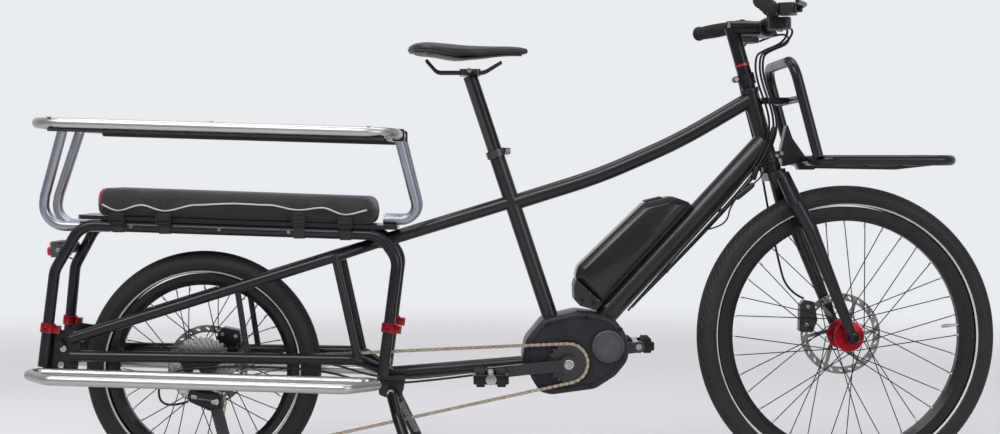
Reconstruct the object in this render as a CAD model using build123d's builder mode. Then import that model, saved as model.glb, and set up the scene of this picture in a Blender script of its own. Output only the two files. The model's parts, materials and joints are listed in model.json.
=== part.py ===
"""Compact longtail cargo bicycle with a mid motor, passenger rail, side racks and a front rack.

Frame: +X forward, +Y to the rider's left, +Z up, millimetres. The origin is on the
ground midway between the two feet of the kickstand. The steered parts are built
straight ahead and then turned to the angle at which the bicycle is parked.
"""
import os
from math import acos, atan2, cos, degrees, hypot, pi, radians, sin, tan

from build123d import *

os.makedirs("parts", exist_ok=True)

# ---------------------------------------------------------------- driving dimensions
FRONT_TYRE_R, FRONT_TYRE_W = 331.0, 50.0
REAR_TYRE_R, REAR_TYRE_W = 259.0, 55.0
FRONT_AXLE = (921.0, FRONT_TYRE_R)          # x, z
REAR_AXLE = (-497.0, REAR_TYRE_R)
FRONT_RIM_R, REAR_RIM_R = 285.0, 209.0      # outer edge of each rim
FRONT_RIM_IN, REAR_RIM_IN = 253.0, 184.0
RIM_HALF = 15.0
SPOKES = 36
SPOKE_R = 1.1
ROTOR_R, ROTOR_T = 90.0, 1.9

HEAD_TILT = 15.83                           # steering axis from the vertical, degrees
HEAD_POINT = (701.6, 896.3)                 # a point of the steering axis, x, z
HEAD_BOTTOM, HEAD_TOP = 709.0, 876.0        # heights of the head tube's ends
HEAD_R, CUP_R, CUP_H = 18.0, 20.5, 11.0
STEERER_R = 14.3
PARKED_STEER = 2.5                          # parked steering angle to the left, degrees
RUN_FIT = 0.05                              # radial clearance of running fits

SEAT_TOP, SEAT_LOW = (145.3, 741.0), (269.0, 370.0)
SEAT_R, POST_R = 17.45, 15.8
SEAT_LEAN = degrees(atan2(SEAT_LOW[0] - SEAT_TOP[0], SEAT_TOP[1] - SEAT_LOW[1]))
DOWN_HIGH, DOWN_LOW = (741.0, 757.3), (385.2, 371.6)
DOWN_R = 25.4
TOP_R = 17.3
STAY_R, STAY_Y = 12.0, 78.0
MONO_R = 15.0
WALL = 1.8

CRANK = (304.0, 277.0)                      # spindle, x, z
CRANK_LENGTH = 170.0
CRANK_ANGLE = 6.3                           # right arm below the rearward horizontal, degrees
CHAIN_Y = -58.0
CHAIN_PITCH = 12.7
SPROCKET_TEETH, COG_TEETH, JOCKEY_TEETH = 21, 12, 11
GUIDE_WHEEL, TENSION_WHEEL = (-463.0, 193.0), (-437.0, 94.0)

RACK_R, RACK_TOP_Y = 12.0, 70.0
DECK_FALL = 0.0346                          # fall of the deck per millimetre forward
DECK_REAR, DECK_FRONT, DECK_T, DECK_HALF = -760.0, -68.0, 9.0, 78.0
RAIL_R, RAIL_HALF = 11.1, 226.0
RAIL_REAR, RAIL_FRONT, RAIL_FALL = -816.0, -65.0, 0.0294
FOOT_R, FOOT_IN, FOOT_OUT = 11.1, 102.0, 200.0
STAND = (-82.0, 212.0)                      # kickstand pivot, x, z
STAND_FOOT_Y = 190.0

# ---------------------------------------------------------------- shared geometry
AXIS_DIR = Vector(-sin(radians(HEAD_TILT)), 0, cos(radians(HEAD_TILT)))
STEER_AXIS = Axis((HEAD_POINT[0], 0, HEAD_POINT[1]), AXIS_DIR)


def on_axis(z):
    """Point of the steering axis at height z."""
    return Vector(HEAD_POINT[0] + (HEAD_POINT[1] - z) * tan(radians(HEAD_TILT)), 0, z)


def head_plane(z):
    """Plane square to the steering axis at height z."""
    return Plane(origin=on_axis(z), x_dir=(AXIS_DIR.Z, 0, -AXIS_DIR.X), z_dir=AXIS_DIR)


def side_plane(y):
    """Vertical plane at y whose sketch coordinates are x and z, facing the right side."""
    return Plane(origin=(0, y, 0), x_dir=(1, 0, 0), z_dir=(0, -1, 0))


def tube(points, radius, bend=0.0, bore=0.0, mode=Mode.ADD):
    """Sweep a round tube along straight runs joined by tangent arcs."""
    with BuildLine() as route:
        if len(points) == 2:
            Line(points[0], points[1])
        else:
            FilletPolyline(*points, radius=bend)
    path = route.wire()
    with BuildSketch(Plane(origin=path @ 0, z_dir=path % 0)) as section:
        Circle(radius)
        if bore:
            Circle(bore, mode=Mode.SUBTRACT)
    sweep(sections=section.sketch, path=path, mode=mode)


def loop_tube(points, radius, bend, bore):
    """Sweep a round tube along a closed loop with rounded corners."""
    with BuildLine() as route:
        FilletPolyline(*points, radius=bend, close=True)
    path = route.wire()
    with BuildSketch(Plane(origin=path @ 0, z_dir=path % 0)) as section:
        Circle(radius)
        Circle(bore, mode=Mode.SUBTRACT)
    sweep(sections=section.sketch, path=path)


def welded(runs, wall):
    """Join several tubes (points, radius, bend) into one hollow weldment."""
    for points, radius, bend in runs:
        tube(points, radius, bend)
    for points, radius, bend in runs:
        tube(points, radius - wall, bend, mode=Mode.SUBTRACT)


def both(points):
    """The same run on the right side and on the left side."""
    return [points, [(x, -y, z) for x, y, z in points]]


def cut_by(*others):
    """Cut the neighbours' solids out of the piece being built."""
    for other in others:
        add(other.part, mode=Mode.SUBTRACT)


def save(piece, name, steered=False):
    """Label a finished piece and write it, turned with the parked steering if it steers."""
    solid = piece.part.rotate(STEER_AXIS, PARKED_STEER) if steered else piece.part
    solid.label = name
    export_step(solid, f"parts/{name}.step")


def wheel_plane(axle):
    """Sketch plane through an axle: local x is the radius and local y runs along the axle."""
    return Plane(origin=(axle[0], 0, axle[1]), x_dir=(1, 0, 0), z_dir=(0, 0, 1))


def wheel_axis(axle):
    return Axis((axle[0], 0, axle[1]), (0, 1, 0))


# ---------------------------------------------------------------- main tubes
with BuildPart() as head_core:
    with BuildSketch(head_plane(HEAD_BOTTOM)):
        Circle(HEAD_R)
    extrude(amount=(HEAD_TOP - HEAD_BOTTOM) / cos(radians(HEAD_TILT)))

with BuildPart() as head_tube:
    add(head_core.part)
    for z, up in ((HEAD_BOTTOM, 1), (HEAD_TOP, -1)):
        with BuildSketch(head_plane(z)) as cup:
            Circle(CUP_R)
        extrude(cup.sketch, amount=up * CUP_H)
    fillet(head_tube.edges().filter_by(GeomType.CIRCLE).filter_by(lambda e: e.radius > CUP_R - 1), 1.5)
    tube([on_axis(HEAD_BOTTOM - 5), on_axis(HEAD_TOP + 5)], STEERER_R + RUN_FIT, mode=Mode.SUBTRACT)
    tube([on_axis(HEAD_BOTTOM + CUP_H), on_axis(HEAD_TOP - CUP_H)], HEAD_R - 2, mode=Mode.SUBTRACT)
save(head_tube, "head_tube")

with BuildPart() as head_outer:
    add(head_core.part)
    for z, up in ((HEAD_BOTTOM, 1), (HEAD_TOP, -1)):
        with BuildSketch(head_plane(z)) as cup:
            Circle(CUP_R)
        extrude(cup.sketch, amount=up * CUP_H)

MOTOR_OUTLINE = [
    (204, 284), (212, 325), (250, 371), (322, 388), (374, 383), (407, 371), (431, 339), (438, 300),
    (433, 278), (409, 248), (364, 219), (268, 206), (244, 212), (228, 236),
]
MOTOR_RIGHT, MOTOR_LEFT, MOTOR_WALL = -50.0, 60.0, 3.5

with BuildSketch(side_plane(MOTOR_RIGHT)) as motor_face:
    with BuildLine():
        Polyline(*MOTOR_OUTLINE, close=True)
    make_face()
    fillet(motor_face.vertices(), 10)

with BuildPart() as motor_core:
    extrude(motor_face.sketch, amount=-(MOTOR_LEFT - MOTOR_RIGHT))

with BuildPart() as seat_core:
    tube([(SEAT_TOP[0], 0, SEAT_TOP[1]), (SEAT_LOW[0], 0, SEAT_LOW[1])], SEAT_R)

with BuildPart() as seat_tube:
    add(seat_core.part)
    tube([(SEAT_TOP[0], 0, SEAT_TOP[1]), (SEAT_LOW[0], 0, SEAT_LOW[1])], POST_R + RUN_FIT,
         mode=Mode.SUBTRACT)
    cut_by(motor_core)
    with BuildSketch(Plane(origin=(SEAT_TOP[0], 0, SEAT_TOP[1]), z_dir=(1, 0, 0))) as clamp_slot:
        Rectangle(2.5, 70)
    extrude(clamp_slot.sketch, amount=-40, mode=Mode.SUBTRACT)
save(seat_tube, "seat_tube")

DOWN_RUN = [(DOWN_HIGH[0], 0, DOWN_HIGH[1]), (DOWN_LOW[0], 0, DOWN_LOW[1])]
with BuildPart() as down_core:
    tube(DOWN_RUN, DOWN_R)
    cut_by(head_outer, motor_core)

with BuildPart() as down_tube:
    add(down_core.part)
    tube(DOWN_RUN, DOWN_R - WALL, mode=Mode.SUBTRACT)
save(down_tube, "down_tube")

TOP_RUN = [(184, 0, 623.0), (378, 0, 684.0), (555, 0, 762.0), (713, 0, 855.0)]
TOP_BEND = 1200.0
with BuildPart() as top_tube:
    tube(TOP_RUN, TOP_R, TOP_BEND, TOP_R - WALL)
    cut_by(head_outer, seat_core, down_core)
save(top_tube, "top_tube")

UPPER_MONO = [(183, 0, 627.0), (-112, 0, 536.7)]
UPPER_STAY = [(-96, -8, 541.6), (-205, -STAY_Y, 507.8), (-770, -STAY_Y, 331.9)]
UPPER_BRIDGE = [(-222, -STAY_Y, 502.5), (-222, STAY_Y, 502.5)]
with BuildPart() as upper_stays:
    welded([(UPPER_MONO, MONO_R, 0)] + [(run, STAY_R, 70) for run in both(UPPER_STAY)]
           + [(UPPER_BRIDGE, 8, 0)], WALL)
    cut_by(seat_core, top_tube)
save(upper_stays, "upper_stays")

LOWER_MONO = [(-108, 0, 245.3), (216, 0, 271.6)]
LOWER_STAY = [(-770, -STAY_Y, 295.6), (-152, -STAY_Y, 286.7), (-86, -12, 250.5)]
with BuildPart() as lower_stays:
    welded([(LOWER_MONO, MONO_R, 0)] + [(run, STAY_R, 45) for run in both(LOWER_STAY)], WALL)
    cut_by(motor_core)
save(lower_stays, "lower_stays")


# ---------------------------------------------------------------- side racks and deck
def deck_z(x):
    """Height of the underside of the deck, which lies on the rack rails."""
    return 556.0 + RACK_R - DECK_FALL * (x + 104)


SIDE_RACK = [(-826, -91, 274), (-804, -81, 480), (-750, -72, 577.5), (-104, -RACK_TOP_Y, 556.0),
             (-66, -79, 503), (-97, -91, 254)]
with BuildPart() as side_racks:
    for run in both(SIDE_RACK):
        tube(run, RACK_R, 50, RACK_R - 2)
save(side_racks, "side_racks")

with BuildPart() as rack_core:
    for run in both(SIDE_RACK):
        tube(run, RACK_R, 50)

DECK_PLANE = Plane(origin=(0, 0, deck_z(0)), x_dir=(1, 0, -DECK_FALL), z_dir=(DECK_FALL, 0, 1))
with BuildPart() as deck_core:
    with BuildSketch(DECK_PLANE):
        with Locations(((DECK_REAR + DECK_FRONT) / 2, 0)):
            RectangleRounded(DECK_FRONT - DECK_REAR, 2 * DECK_HALF, 22)
    extrude(amount=DECK_T)

with BuildPart() as deck_plate:
    add(deck_core.part)
    with BuildSketch(DECK_PLANE) as deck_slots:
        with Locations(((DECK_REAR + DECK_FRONT) / 2, 0)):
            with GridLocations(92, 46, 6, 3):
                SlotOverall(66, 22)
    extrude(deck_slots.sketch, amount=DECK_T, mode=Mode.SUBTRACT)
    for x in (-620, -420, -225):
        z = deck_z(x) - RACK_R
        tube([(x, -RACK_TOP_Y, z), (x, RACK_TOP_Y, z)], 8, bore=6)
    cut_by(rack_core)
save(deck_plate, "deck_plate")

COLLAR_LOW, COLLAR_H, COLLAR_R = 347.0, 20.0, 15.8
with BuildPart() as rack_collars:
    for low, high in ((SIDE_RACK[0], SIDE_RACK[1]), (SIDE_RACK[5], SIDE_RACK[4])):
        start, end = Vector(*low), Vector(*high)
        rise = (end - start).normalized()
        base = start + rise * ((COLLAR_LOW - start.Z) / rise.Z)
        tube([base, base + rise * COLLAR_H], COLLAR_R)
        with BuildSketch(Plane(origin=base, x_dir=(1, 0, 0), z_dir=rise)) as ear:
            with Locations((COLLAR_R + 3, 0)):
                RectangleRounded(18, 15, 4)
        extrude(ear.sketch, amount=COLLAR_H - 3)
        tube([base - rise * 5, base + rise * (COLLAR_H + 5)], RACK_R + RUN_FIT, mode=Mode.SUBTRACT)
    fillet(rack_collars.edges().filter_by(lambda e: e.length > 2 * pi * COLLAR_R - 1), 1.5)
    mirror(about=Plane.XZ)
save(rack_collars, "rack_collars")


def rail_z(x):
    return 772.6 - RAIL_FALL * (x - RAIL_FRONT)


RAIL_LOOP = [(x, y, rail_z(x)) for x, y in ((RAIL_REAR, -RAIL_HALF), (RAIL_FRONT, -RAIL_HALF),
                                            (RAIL_FRONT, RAIL_HALF), (RAIL_REAR, RAIL_HALF))]
with BuildPart() as passenger_rail:
    loop_tube(RAIL_LOOP, RAIL_R, 70, RAIL_R - 1.5)
save(passenger_rail, "passenger_rail")

with BuildPart() as rail_core:
    for x in (RAIL_REAR, RAIL_FRONT):
        tube([(x, -120, rail_z(x)), (x, 120, rail_z(x))], RAIL_R)

REAR_LEG = [(-817, -72, 796), (-788, -70, 791), (-833, -54, 640), (-842, -46, 576), (-694, -45.5, 572)]
FRONT_LEG_Z = deck_z(-60) + DECK_T + RAIL_R + 0.6
FRONT_LEG = [(-65, -72, 776), (-17, -48, FRONT_LEG_Z), (-98, -46, FRONT_LEG_Z + 1.0)]
with BuildPart() as rail_legs:
    for run in both(REAR_LEG):
        tube(run, RAIL_R, (13, 40, 45), RAIL_R - 1.5)
    for run in both(FRONT_LEG):
        tube(run, RAIL_R, 32, RAIL_R - 1.5)
    cut_by(rail_core, rack_core, deck_core)
save(rail_legs, "rail_legs")


def footrest_z(x):
    return 256.0 - 0.0298 * (x + 636)


FOOTREST = [(x, y, footrest_z(x)) for x, y in ((-165, -FOOT_OUT), (-77, -FOOT_IN),
                                               (-875, -FOOT_IN), (-787, -FOOT_OUT))]
FOOT_BEND = 25.0
with BuildPart() as footrests:
    for run in both(FOOTREST):
        loop_tube(run, FOOT_R, FOOT_BEND, FOOT_R - 1.6)
    cut_by(rack_core)
save(footrests, "footrests")

# ---------------------------------------------------------------- brackets, struts and dropouts
REAR_PLATE = [(-830, 262), (-757, 262), (-748, 345), (-796, 352), (-834, 330)]
REAR_BOLTS = [(-784.5, 312.0), (-789.0, 277.0)]
DROPOUT = [(-545, 300), (-452, 300), (-470, 246), (-489, 236), (-508, 238), (-522, 256)]
PLATE_T = 6.0
STRUTS = [[(-200, -STAY_Y, 506.3), (-151, -STAY_Y, 286.8)],
          [(-412, -STAY_Y, 443.4), (-388, -STAY_Y, 290.1)]]
STRUT_R = (8.5, 6.5)
CHEEK_IN, CHEEK_OUT = 24.0, 32.0
STAND_CHEEK = [(-114, 244), (-50, 248), (-58, 204), (-82, 194), (-108, 204)]
AXLE_R = 6.0

with BuildPart() as frame_brackets:
    for run, radius in zip(STRUTS, STRUT_R):
        tube(run, radius, bore=radius - WALL)
    with BuildSketch(side_plane(-STAY_Y)) as plates:
        for outline in (REAR_PLATE, DROPOUT):
            with BuildLine():
                Polyline(*outline, close=True)
            make_face()
        fillet(plates.vertices(), 8)
        with Locations(REAR_AXLE):
            Circle(AXLE_R + RUN_FIT, mode=Mode.SUBTRACT)
        with Locations(*REAR_BOLTS):
            Circle(4.1, mode=Mode.SUBTRACT)
    extrude(plates.sketch, amount=-PLATE_T)
    with BuildSketch(side_plane(-CHEEK_OUT)) as cheek:
        with BuildLine():
            Polyline(*STAND_CHEEK, close=True)
        make_face()
        fillet(cheek.vertices(), 5)
        with Locations(STAND):
            Circle(9 + RUN_FIT, mode=Mode.SUBTRACT)
    extrude(cheek.sketch, amount=-(CHEEK_OUT - CHEEK_IN))
    mirror(about=Plane.XZ)
    for x, z, radius, reach in ((-97, 268, 10, 92), (-80, 236, 7, 28), (-792, 322, 9, 92)):
        tube([(x, -reach, z), (x, reach, z)], radius)
    cut_by(upper_stays, lower_stays, rack_core)
    for mono in (UPPER_MONO, LOWER_MONO):
        tube(mono, MONO_R, mode=Mode.SUBTRACT)
    for stay, bend in ((UPPER_STAY, 70), (LOWER_STAY, 45)):
        for run in both(stay):
            tube(run, STAY_R, bend, mode=Mode.SUBTRACT)
save(frame_brackets, "frame_brackets")

# ---------------------------------------------------------------- motor and battery
SPINDLE_R = 11.0
with BuildPart() as motor_housing:
    add(motor_core.part)
    with BuildSketch(side_plane(MOTOR_RIGHT + MOTOR_WALL)) as cavity:
        add(motor_face.sketch.faces()[0].moved(Location((0, MOTOR_WALL, 0))))
        offset(amount=-MOTOR_WALL, kind=Kind.INTERSECTION)
    extrude(cavity.sketch, amount=-(MOTOR_LEFT - MOTOR_RIGHT - 2 * MOTOR_WALL), mode=Mode.SUBTRACT)
    for y0, y1 in ((MOTOR_RIGHT, -30), (42, MOTOR_LEFT)):
        tube([(CRANK[0], y0, CRANK[1]), (CRANK[0], y1, CRANK[1])], 20)
    tube([(CRANK[0], -80, CRANK[1]), (CRANK[0], 80, CRANK[1])], SPINDLE_R + RUN_FIT, mode=Mode.SUBTRACT)
save(motor_housing, "motor_housing")

COVER = (391.0, 313.0)
with BuildPart() as motor_cover:
    with BuildSketch(side_plane(MOTOR_RIGHT)):
        with Locations(COVER):
            Circle(35)
    extrude(amount=11)
    fillet(motor_cover.faces().sort_by(Axis.Y)[0].edges(), 5)
save(motor_cover, "motor_cover")

BATTERY_ALONG = Vector(DOWN_HIGH[0] - DOWN_LOW[0], 0, DOWN_HIGH[1] - DOWN_LOW[1]).normalized()
BATTERY_PLANE = Plane(origin=(419.7, 0, 409.0), x_dir=BATTERY_ALONG, z_dir=(0, -1, 0))
BATTERY = [(-28, 31), (-30, 108), (-8, 120), (196, 108), (246, 74), (266, 40), (262, 31)]
DOCK = [(-50, 26), (-67, 58), (-66, 76), (-44, 98), (-31, 104), (-31, 26)]
BATTERY_HALF, DOCK_HALF = 42.0, 38.0
with BuildPart() as battery_dock:
    with BuildSketch(BATTERY_PLANE) as dock_side:
        with BuildLine():
            Polyline(*DOCK, close=True)
        make_face()
    extrude(dock_side.sketch, amount=DOCK_HALF, both=True)
    fillet(battery_dock.edges().filter_by(Axis.Y).sort_by(Axis.X)[:2], 6)
    with BuildSketch(BATTERY_PLANE) as rail_side:
        with Locations((115, 27)):
            Rectangle(294, 6)
    extrude(rail_side.sketch, amount=16, both=True)
    cut_by(motor_core)
    tube(DOWN_RUN, DOWN_R, mode=Mode.SUBTRACT)
save(battery_dock, "battery_dock")

with BuildPart() as battery_case:
    with BuildSketch(BATTERY_PLANE) as battery_side:
        with BuildLine():
            Polyline(*BATTERY, close=True)
        make_face()
        fillet(battery_side.vertices(), 3)
    extrude(battery_side.sketch, amount=BATTERY_HALF, both=True)
    fillet(battery_case.faces().sort_by(Axis.Y)[0].edges(), 5)
    fillet(battery_case.faces().sort_by(Axis.Y)[-1].edges(), 5)
save(battery_case, "battery_case")

# ---------------------------------------------------------------- front rack
HOOP_Y, HOOP_BEND, HOOP_TOP, HOOP_R = 133.0, 42.0, (775.0, 929.0), 11.1
RACK_FRONT, RACK_BACK, PLATFORM_Z = 1120.0, 826.0, 717.0
HOOP_FOOT = (829.0, 724.0)                  # x and z of the hoop's ends, on the platform
HOOP = [(HOOP_FOOT[0], -HOOP_Y, HOOP_FOOT[1]), (HOOP_TOP[0], -HOOP_Y, HOOP_TOP[1]),
        (HOOP_TOP[0], HOOP_Y, HOOP_TOP[1]), (HOOP_FOOT[0], HOOP_Y, HOOP_FOOT[1])]
PLATFORM = [(x, y, PLATFORM_Z) for x, y in ((RACK_BACK, -HOOP_Y), (RACK_FRONT, -HOOP_Y),
                                            (RACK_FRONT, HOOP_Y), (RACK_BACK, HOOP_Y))]
RUNG_Z = 849.0
RUNG_X = HOOP_TOP[0] + (HOOP_TOP[1] - RUNG_Z) * (HOOP_FOOT[0] - HOOP_TOP[0]) / (HOOP_TOP[1] - HOOP_FOOT[1])
RACK_BRACKET = [(775, 738), (789, 800), (801, 766), (828, 728), (868, 722), (848, 697), (815, 697), (808, 711),
                (779, 704)]
SLAT_R, SLAT_Z = 6.0, PLATFORM_Z - 5
with BuildPart() as front_rack:
    tube(HOOP, HOOP_R, HOOP_BEND)
    loop_tube(PLATFORM, HOOP_R, 40, HOOP_R - 1.5)
    tube(HOOP, HOOP_R - 1.5, HOOP_BEND, mode=Mode.SUBTRACT)
    tube([(RUNG_X, -HOOP_Y, RUNG_Z), (RUNG_X, HOOP_Y, RUNG_Z)], 8)
    for x in (892, 968, 1044):
        tube([(x, -HOOP_Y, SLAT_Z), (x, HOOP_Y, SLAT_Z)], SLAT_R)
    tube([(834, 0, 706), (1030, 0, 703), (1112, 0, 712)], SLAT_R, 60)
    with BuildSketch(side_plane(14)) as bracket:
        with BuildLine():
            Polyline(*RACK_BRACKET, close=True)
        make_face()
        fillet(bracket.vertices(), 2)
    extrude(bracket.sketch, amount=28)
    for low, high in (((758, 722), (784, 738)), ((734, 842), (RUNG_X, 856))):
        with BuildSketch(side_plane(16)) as arm:
            with BuildLine():
                Polyline(low, (high[0], low[1]), high, (low[0], high[1]), close=True)
            make_face()
        extrude(arm.sketch, amount=32)
    cut_by(head_outer)
save(front_rack, "front_rack")

# ---------------------------------------------------------------- frame fittings
SEAT_DIR = Vector(SEAT_TOP[0] - SEAT_LOW[0], 0, SEAT_TOP[1] - SEAT_LOW[1]).normalized()
SEAT_RIM = Vector(SEAT_TOP[0], 0, SEAT_TOP[1])
with BuildPart() as seat_clamp:
    tube([SEAT_RIM - SEAT_DIR * 17, SEAT_RIM - SEAT_DIR * 1], 21.5)
    with BuildSketch(Plane(origin=SEAT_RIM - SEAT_DIR * 9 + Vector(24, 0, 6), x_dir=(1, 0, 0), z_dir=(0, 1, 0))):
        RectangleRounded(16, 14, 3)
    extrude(amount=9, both=True)
    tube([SEAT_RIM - SEAT_DIR * 40, SEAT_RIM + SEAT_DIR * 10], SEAT_R + 0.02, mode=Mode.SUBTRACT)
    with BuildSketch(Plane(origin=SEAT_RIM - SEAT_DIR * 9, x_dir=(0, 1, 0), z_dir=(1, 0, 0))) as split_line:
        Rectangle(2.5, 60)
    extrude(split_line.sketch, amount=60, mode=Mode.SUBTRACT)
    clamp_bolt = SEAT_RIM - SEAT_DIR * 9 + Vector(26, 0, 6.5)
    tube([clamp_bolt - Vector(0, 20, 0), clamp_bolt + Vector(0, 20, 0)], 3.05, mode=Mode.SUBTRACT)
save(seat_clamp, "seat_clamp")

REAR_ROTOR_Y, FRONT_ROTOR_Y = 46.0, 37.0
with BuildPart() as rear_caliper:
    with BuildSketch(side_plane(30)) as caliper_side:
        with BuildLine():
            Polyline((-478, 320), (-462, 346), (-424, 338), (-420, 310), (-446, 300), close=True)
        make_face()
        fillet(caliper_side.vertices(), 5)
    extrude(caliper_side.sketch, amount=-32)
    fillet(rear_caliper.faces().sort_by(Axis.Y)[0].edges(), 3)
    with BuildSketch(side_plane(REAR_ROTOR_Y - 1.7)) as rotor_gap:
        with Locations(REAR_AXLE):
            Circle(ROTOR_R + 3)
    extrude(rotor_gap.sketch, amount=-3.4, mode=Mode.SUBTRACT)
    with BuildSketch(side_plane(62)) as caliper_foot:
        with Locations((-434, 306)):
            RectangleRounded(30, 26, 5)
    extrude(caliper_foot.sketch, amount=-16)
    cut_by(lower_stays)
    tube(both(LOWER_STAY)[1], STAY_R, 45, mode=Mode.SUBTRACT)
save(rear_caliper, "rear_caliper")

with BuildPart() as tail_light:
    with BuildSketch(Plane(origin=(0, 0, 523), z_dir=(0, 0, 1))) as light_plan:
        with Locations((-813, 0)):
            RectangleRounded(24, 92, 8)
    extrude(light_plan.sketch, amount=17, both=True)
    with BuildSketch(Plane(origin=(0, 0, 523), z_dir=(0, 0, 1))) as light_bar:
        with Locations((-796, 0)):
            Rectangle(6, 150)
        with Locations((-800, 0)):
            Rectangle(12, 40)
    extrude(light_bar.sketch, amount=11, both=True)
    cut_by(rack_core)
save(tail_light, "tail_light")

with BuildPart() as tail_lens:
    with BuildSketch(Plane(origin=(-825, 0, 519), x_dir=(0, 1, 0), z_dir=(-1, 0, 0))):
        RectangleRounded(84, 20, 6)
    extrude(amount=8)
    fillet(tail_lens.faces().sort_by(Axis.X)[0].edges(), 4)
save(tail_lens, "tail_lens")

CUSHION = (-722.0, -108.0, 95.0, 60.0)        # rear, front, half width, thickness
CUSHION_PLANE = Plane(origin=(0, 0, deck_z(0) + DECK_T + 0.4), x_dir=(1, 0, -DECK_FALL), z_dir=(DECK_FALL, 0, 1))
with BuildPart() as cushion:
    with BuildSketch(CUSHION_PLANE):
        with Locations(((CUSHION[0] + CUSHION[1]) / 2, 0)):
            RectangleRounded(CUSHION[1] - CUSHION[0], 2 * CUSHION[2], 40)
    extrude(amount=CUSHION[3])
    fillet(cushion.faces().sort_by(Axis.Z)[-1].edges(), 16)
    fillet(cushion.faces().sort_by(Axis.Z)[0].edges(), 6)
save(cushion, "cushion")

STRAPS = (-668.0, -568.0, -278.0, -178.0)
STRAP_W, STRAP_T = 24.0, 1.8
with BuildPart() as cushion_straps:
    for x in STRAPS:
        z = deck_z(x) - RACK_R
        with BuildSketch(Plane(origin=(x - STRAP_W / 2, 0, z), x_dir=(0, 1, 0), z_dir=(1, 0, 0))) as loop:
            with Locations((-RACK_TOP_Y, 0)):
                Circle(RACK_R + 0.6 + STRAP_T)
                Circle(RACK_R + 0.6, mode=Mode.SUBTRACT)
            with Locations((-RACK_TOP_Y - RACK_R - 0.6 - STRAP_T / 2, RACK_R / 2 + 4)):
                Rectangle(STRAP_T, RACK_R + 8.4)
        extrude(loop.sketch, amount=STRAP_W)
    cut_by(deck_core, rack_core)
    mirror(about=Plane.XZ)
save(cushion_straps, "cushion_straps")

REAR_NUT_R, FRONT_NUT_R = 10.0, 9.0
with BuildPart() as rear_axle:
    tube([(REAR_AXLE[0], -STAY_Y - 6, REAR_AXLE[1]), (REAR_AXLE[0], STAY_Y + 6, REAR_AXLE[1])], AXLE_R)
    for y in (-STAY_Y - 12, STAY_Y + 0.1):
        with BuildSketch(side_plane(y)) as nut:
            with Locations(REAR_AXLE):
                RegularPolygon(REAR_NUT_R, 6)
        extrude(nut.sketch, amount=-12)
save(rear_axle, "rear_axle")

# ---------------------------------------------------------------- chain and derailleur
def pitch_radius(teeth):
    return CHAIN_PITCH / 2 / sin(pi / teeth)


CHAIN_STOPS = [                             # centre, pitch radius, +1 where the run turns clockwise
    (REAR_AXLE, pitch_radius(COG_TEETH), 1), (CRANK, pitch_radius(SPROCKET_TEETH), 1),
    (TENSION_WHEEL, pitch_radius(JOCKEY_TEETH), 1), (GUIDE_WHEEL, pitch_radius(JOCKEY_TEETH), -1),
]


def tangent(first, second):
    """Ends of the straight chain run that leaves one wheel and meets the next."""
    (c1, r1, s1), (c2, r2, s2) = first, second
    dx, dz = c2[0] - c1[0], c2[1] - c1[1]
    angle = atan2(dz, dx) + acos((s1 * r1 - s2 * r2) / hypot(dx, dz))
    nx, nz = cos(angle), sin(angle)
    return ((c1[0] + s1 * r1 * nx, c1[1] + s1 * r1 * nz), (c2[0] + s2 * r2 * nx, c2[1] + s2 * r2 * nz))


def arc_middle(stop, start, end):
    """Point half way round a wheel between the place the chain meets it and leaves it."""
    centre, radius, sense = stop
    a0 = atan2(start[1] - centre[1], start[0] - centre[0])
    sweep_angle = (a0 - atan2(end[1] - centre[1], end[0] - centre[0])) * sense % (2 * pi)
    middle = a0 - sense * sweep_angle / 2
    return (centre[0] + radius * cos(middle), centre[1] + radius * sin(middle))


CHAIN_H, CHAIN_W = 7.0, 5.6
with BuildPart() as chain:
    runs = [tangent(CHAIN_STOPS[i], CHAIN_STOPS[(i + 1) % 4]) for i in range(4)]
    with BuildSketch(side_plane(CHAIN_Y + CHAIN_W / 2)) as chain_side:
        with BuildLine() as chain_line:
            for i, (leave, meet) in enumerate(runs):
                Line(leave, meet)
                after = CHAIN_STOPS[(i + 1) % 4]
                onward = runs[(i + 1) % 4][0]
                ThreePointArc(meet, arc_middle(after, meet, onward), onward)
        trace(chain_line.line, line_width=CHAIN_H)
    extrude(chain_side.sketch, amount=CHAIN_W)
save(chain, "chain")

CAGE_RIGHT, CAGE_LEFT, CAGE_T = CHAIN_Y - 6.4, CHAIN_Y + 4.4, 2.0
JOCKEY_BOLT_R = 3.0
with BuildPart() as derailleur_cage:
    for y in (CAGE_RIGHT, CAGE_LEFT):
        with BuildSketch(side_plane(y + CAGE_T)) as plate:
            for wheel in (GUIDE_WHEEL, TENSION_WHEEL):
                with Locations(wheel):
                    Circle(13)
            with BuildLine():
                Polyline((-474, 186), (-448, 88), (-426, 98), (-452, 200), close=True)
            make_face()
        extrude(plate.sketch, amount=CAGE_T)
    for x, z in (GUIDE_WHEEL, TENSION_WHEEL):
        tube([(x, CAGE_RIGHT, z), (x, CAGE_LEFT + CAGE_T, z)], JOCKEY_BOLT_R)
save(derailleur_cage, "derailleur_cage")

with BuildPart() as derailleur_body:
    with BuildSketch(side_plane(CAGE_RIGHT - 0.2)) as knuckle:
        with BuildLine():
            Polyline((-520, 214), (-500, 222), (-444, 206), (-446, 182), (-470, 176), (-516, 196), close=True)
        make_face()
        fillet(knuckle.vertices(), 7)
    extrude(knuckle.sketch, amount=13)
    with BuildSketch(side_plane(CAGE_RIGHT - 0.2)) as hanger:
        with BuildLine():
            Polyline((-512, 246), (-486, 246), (-484, 214), (-514, 208), close=True)
        make_face()
    extrude(hanger.sketch, amount=8)
    fillet(derailleur_body.faces().sort_by(Axis.Y)[0].edges(), 2.5)
    cut_by(frame_brackets, rear_axle)
save(derailleur_body, "derailleur_body")


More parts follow.
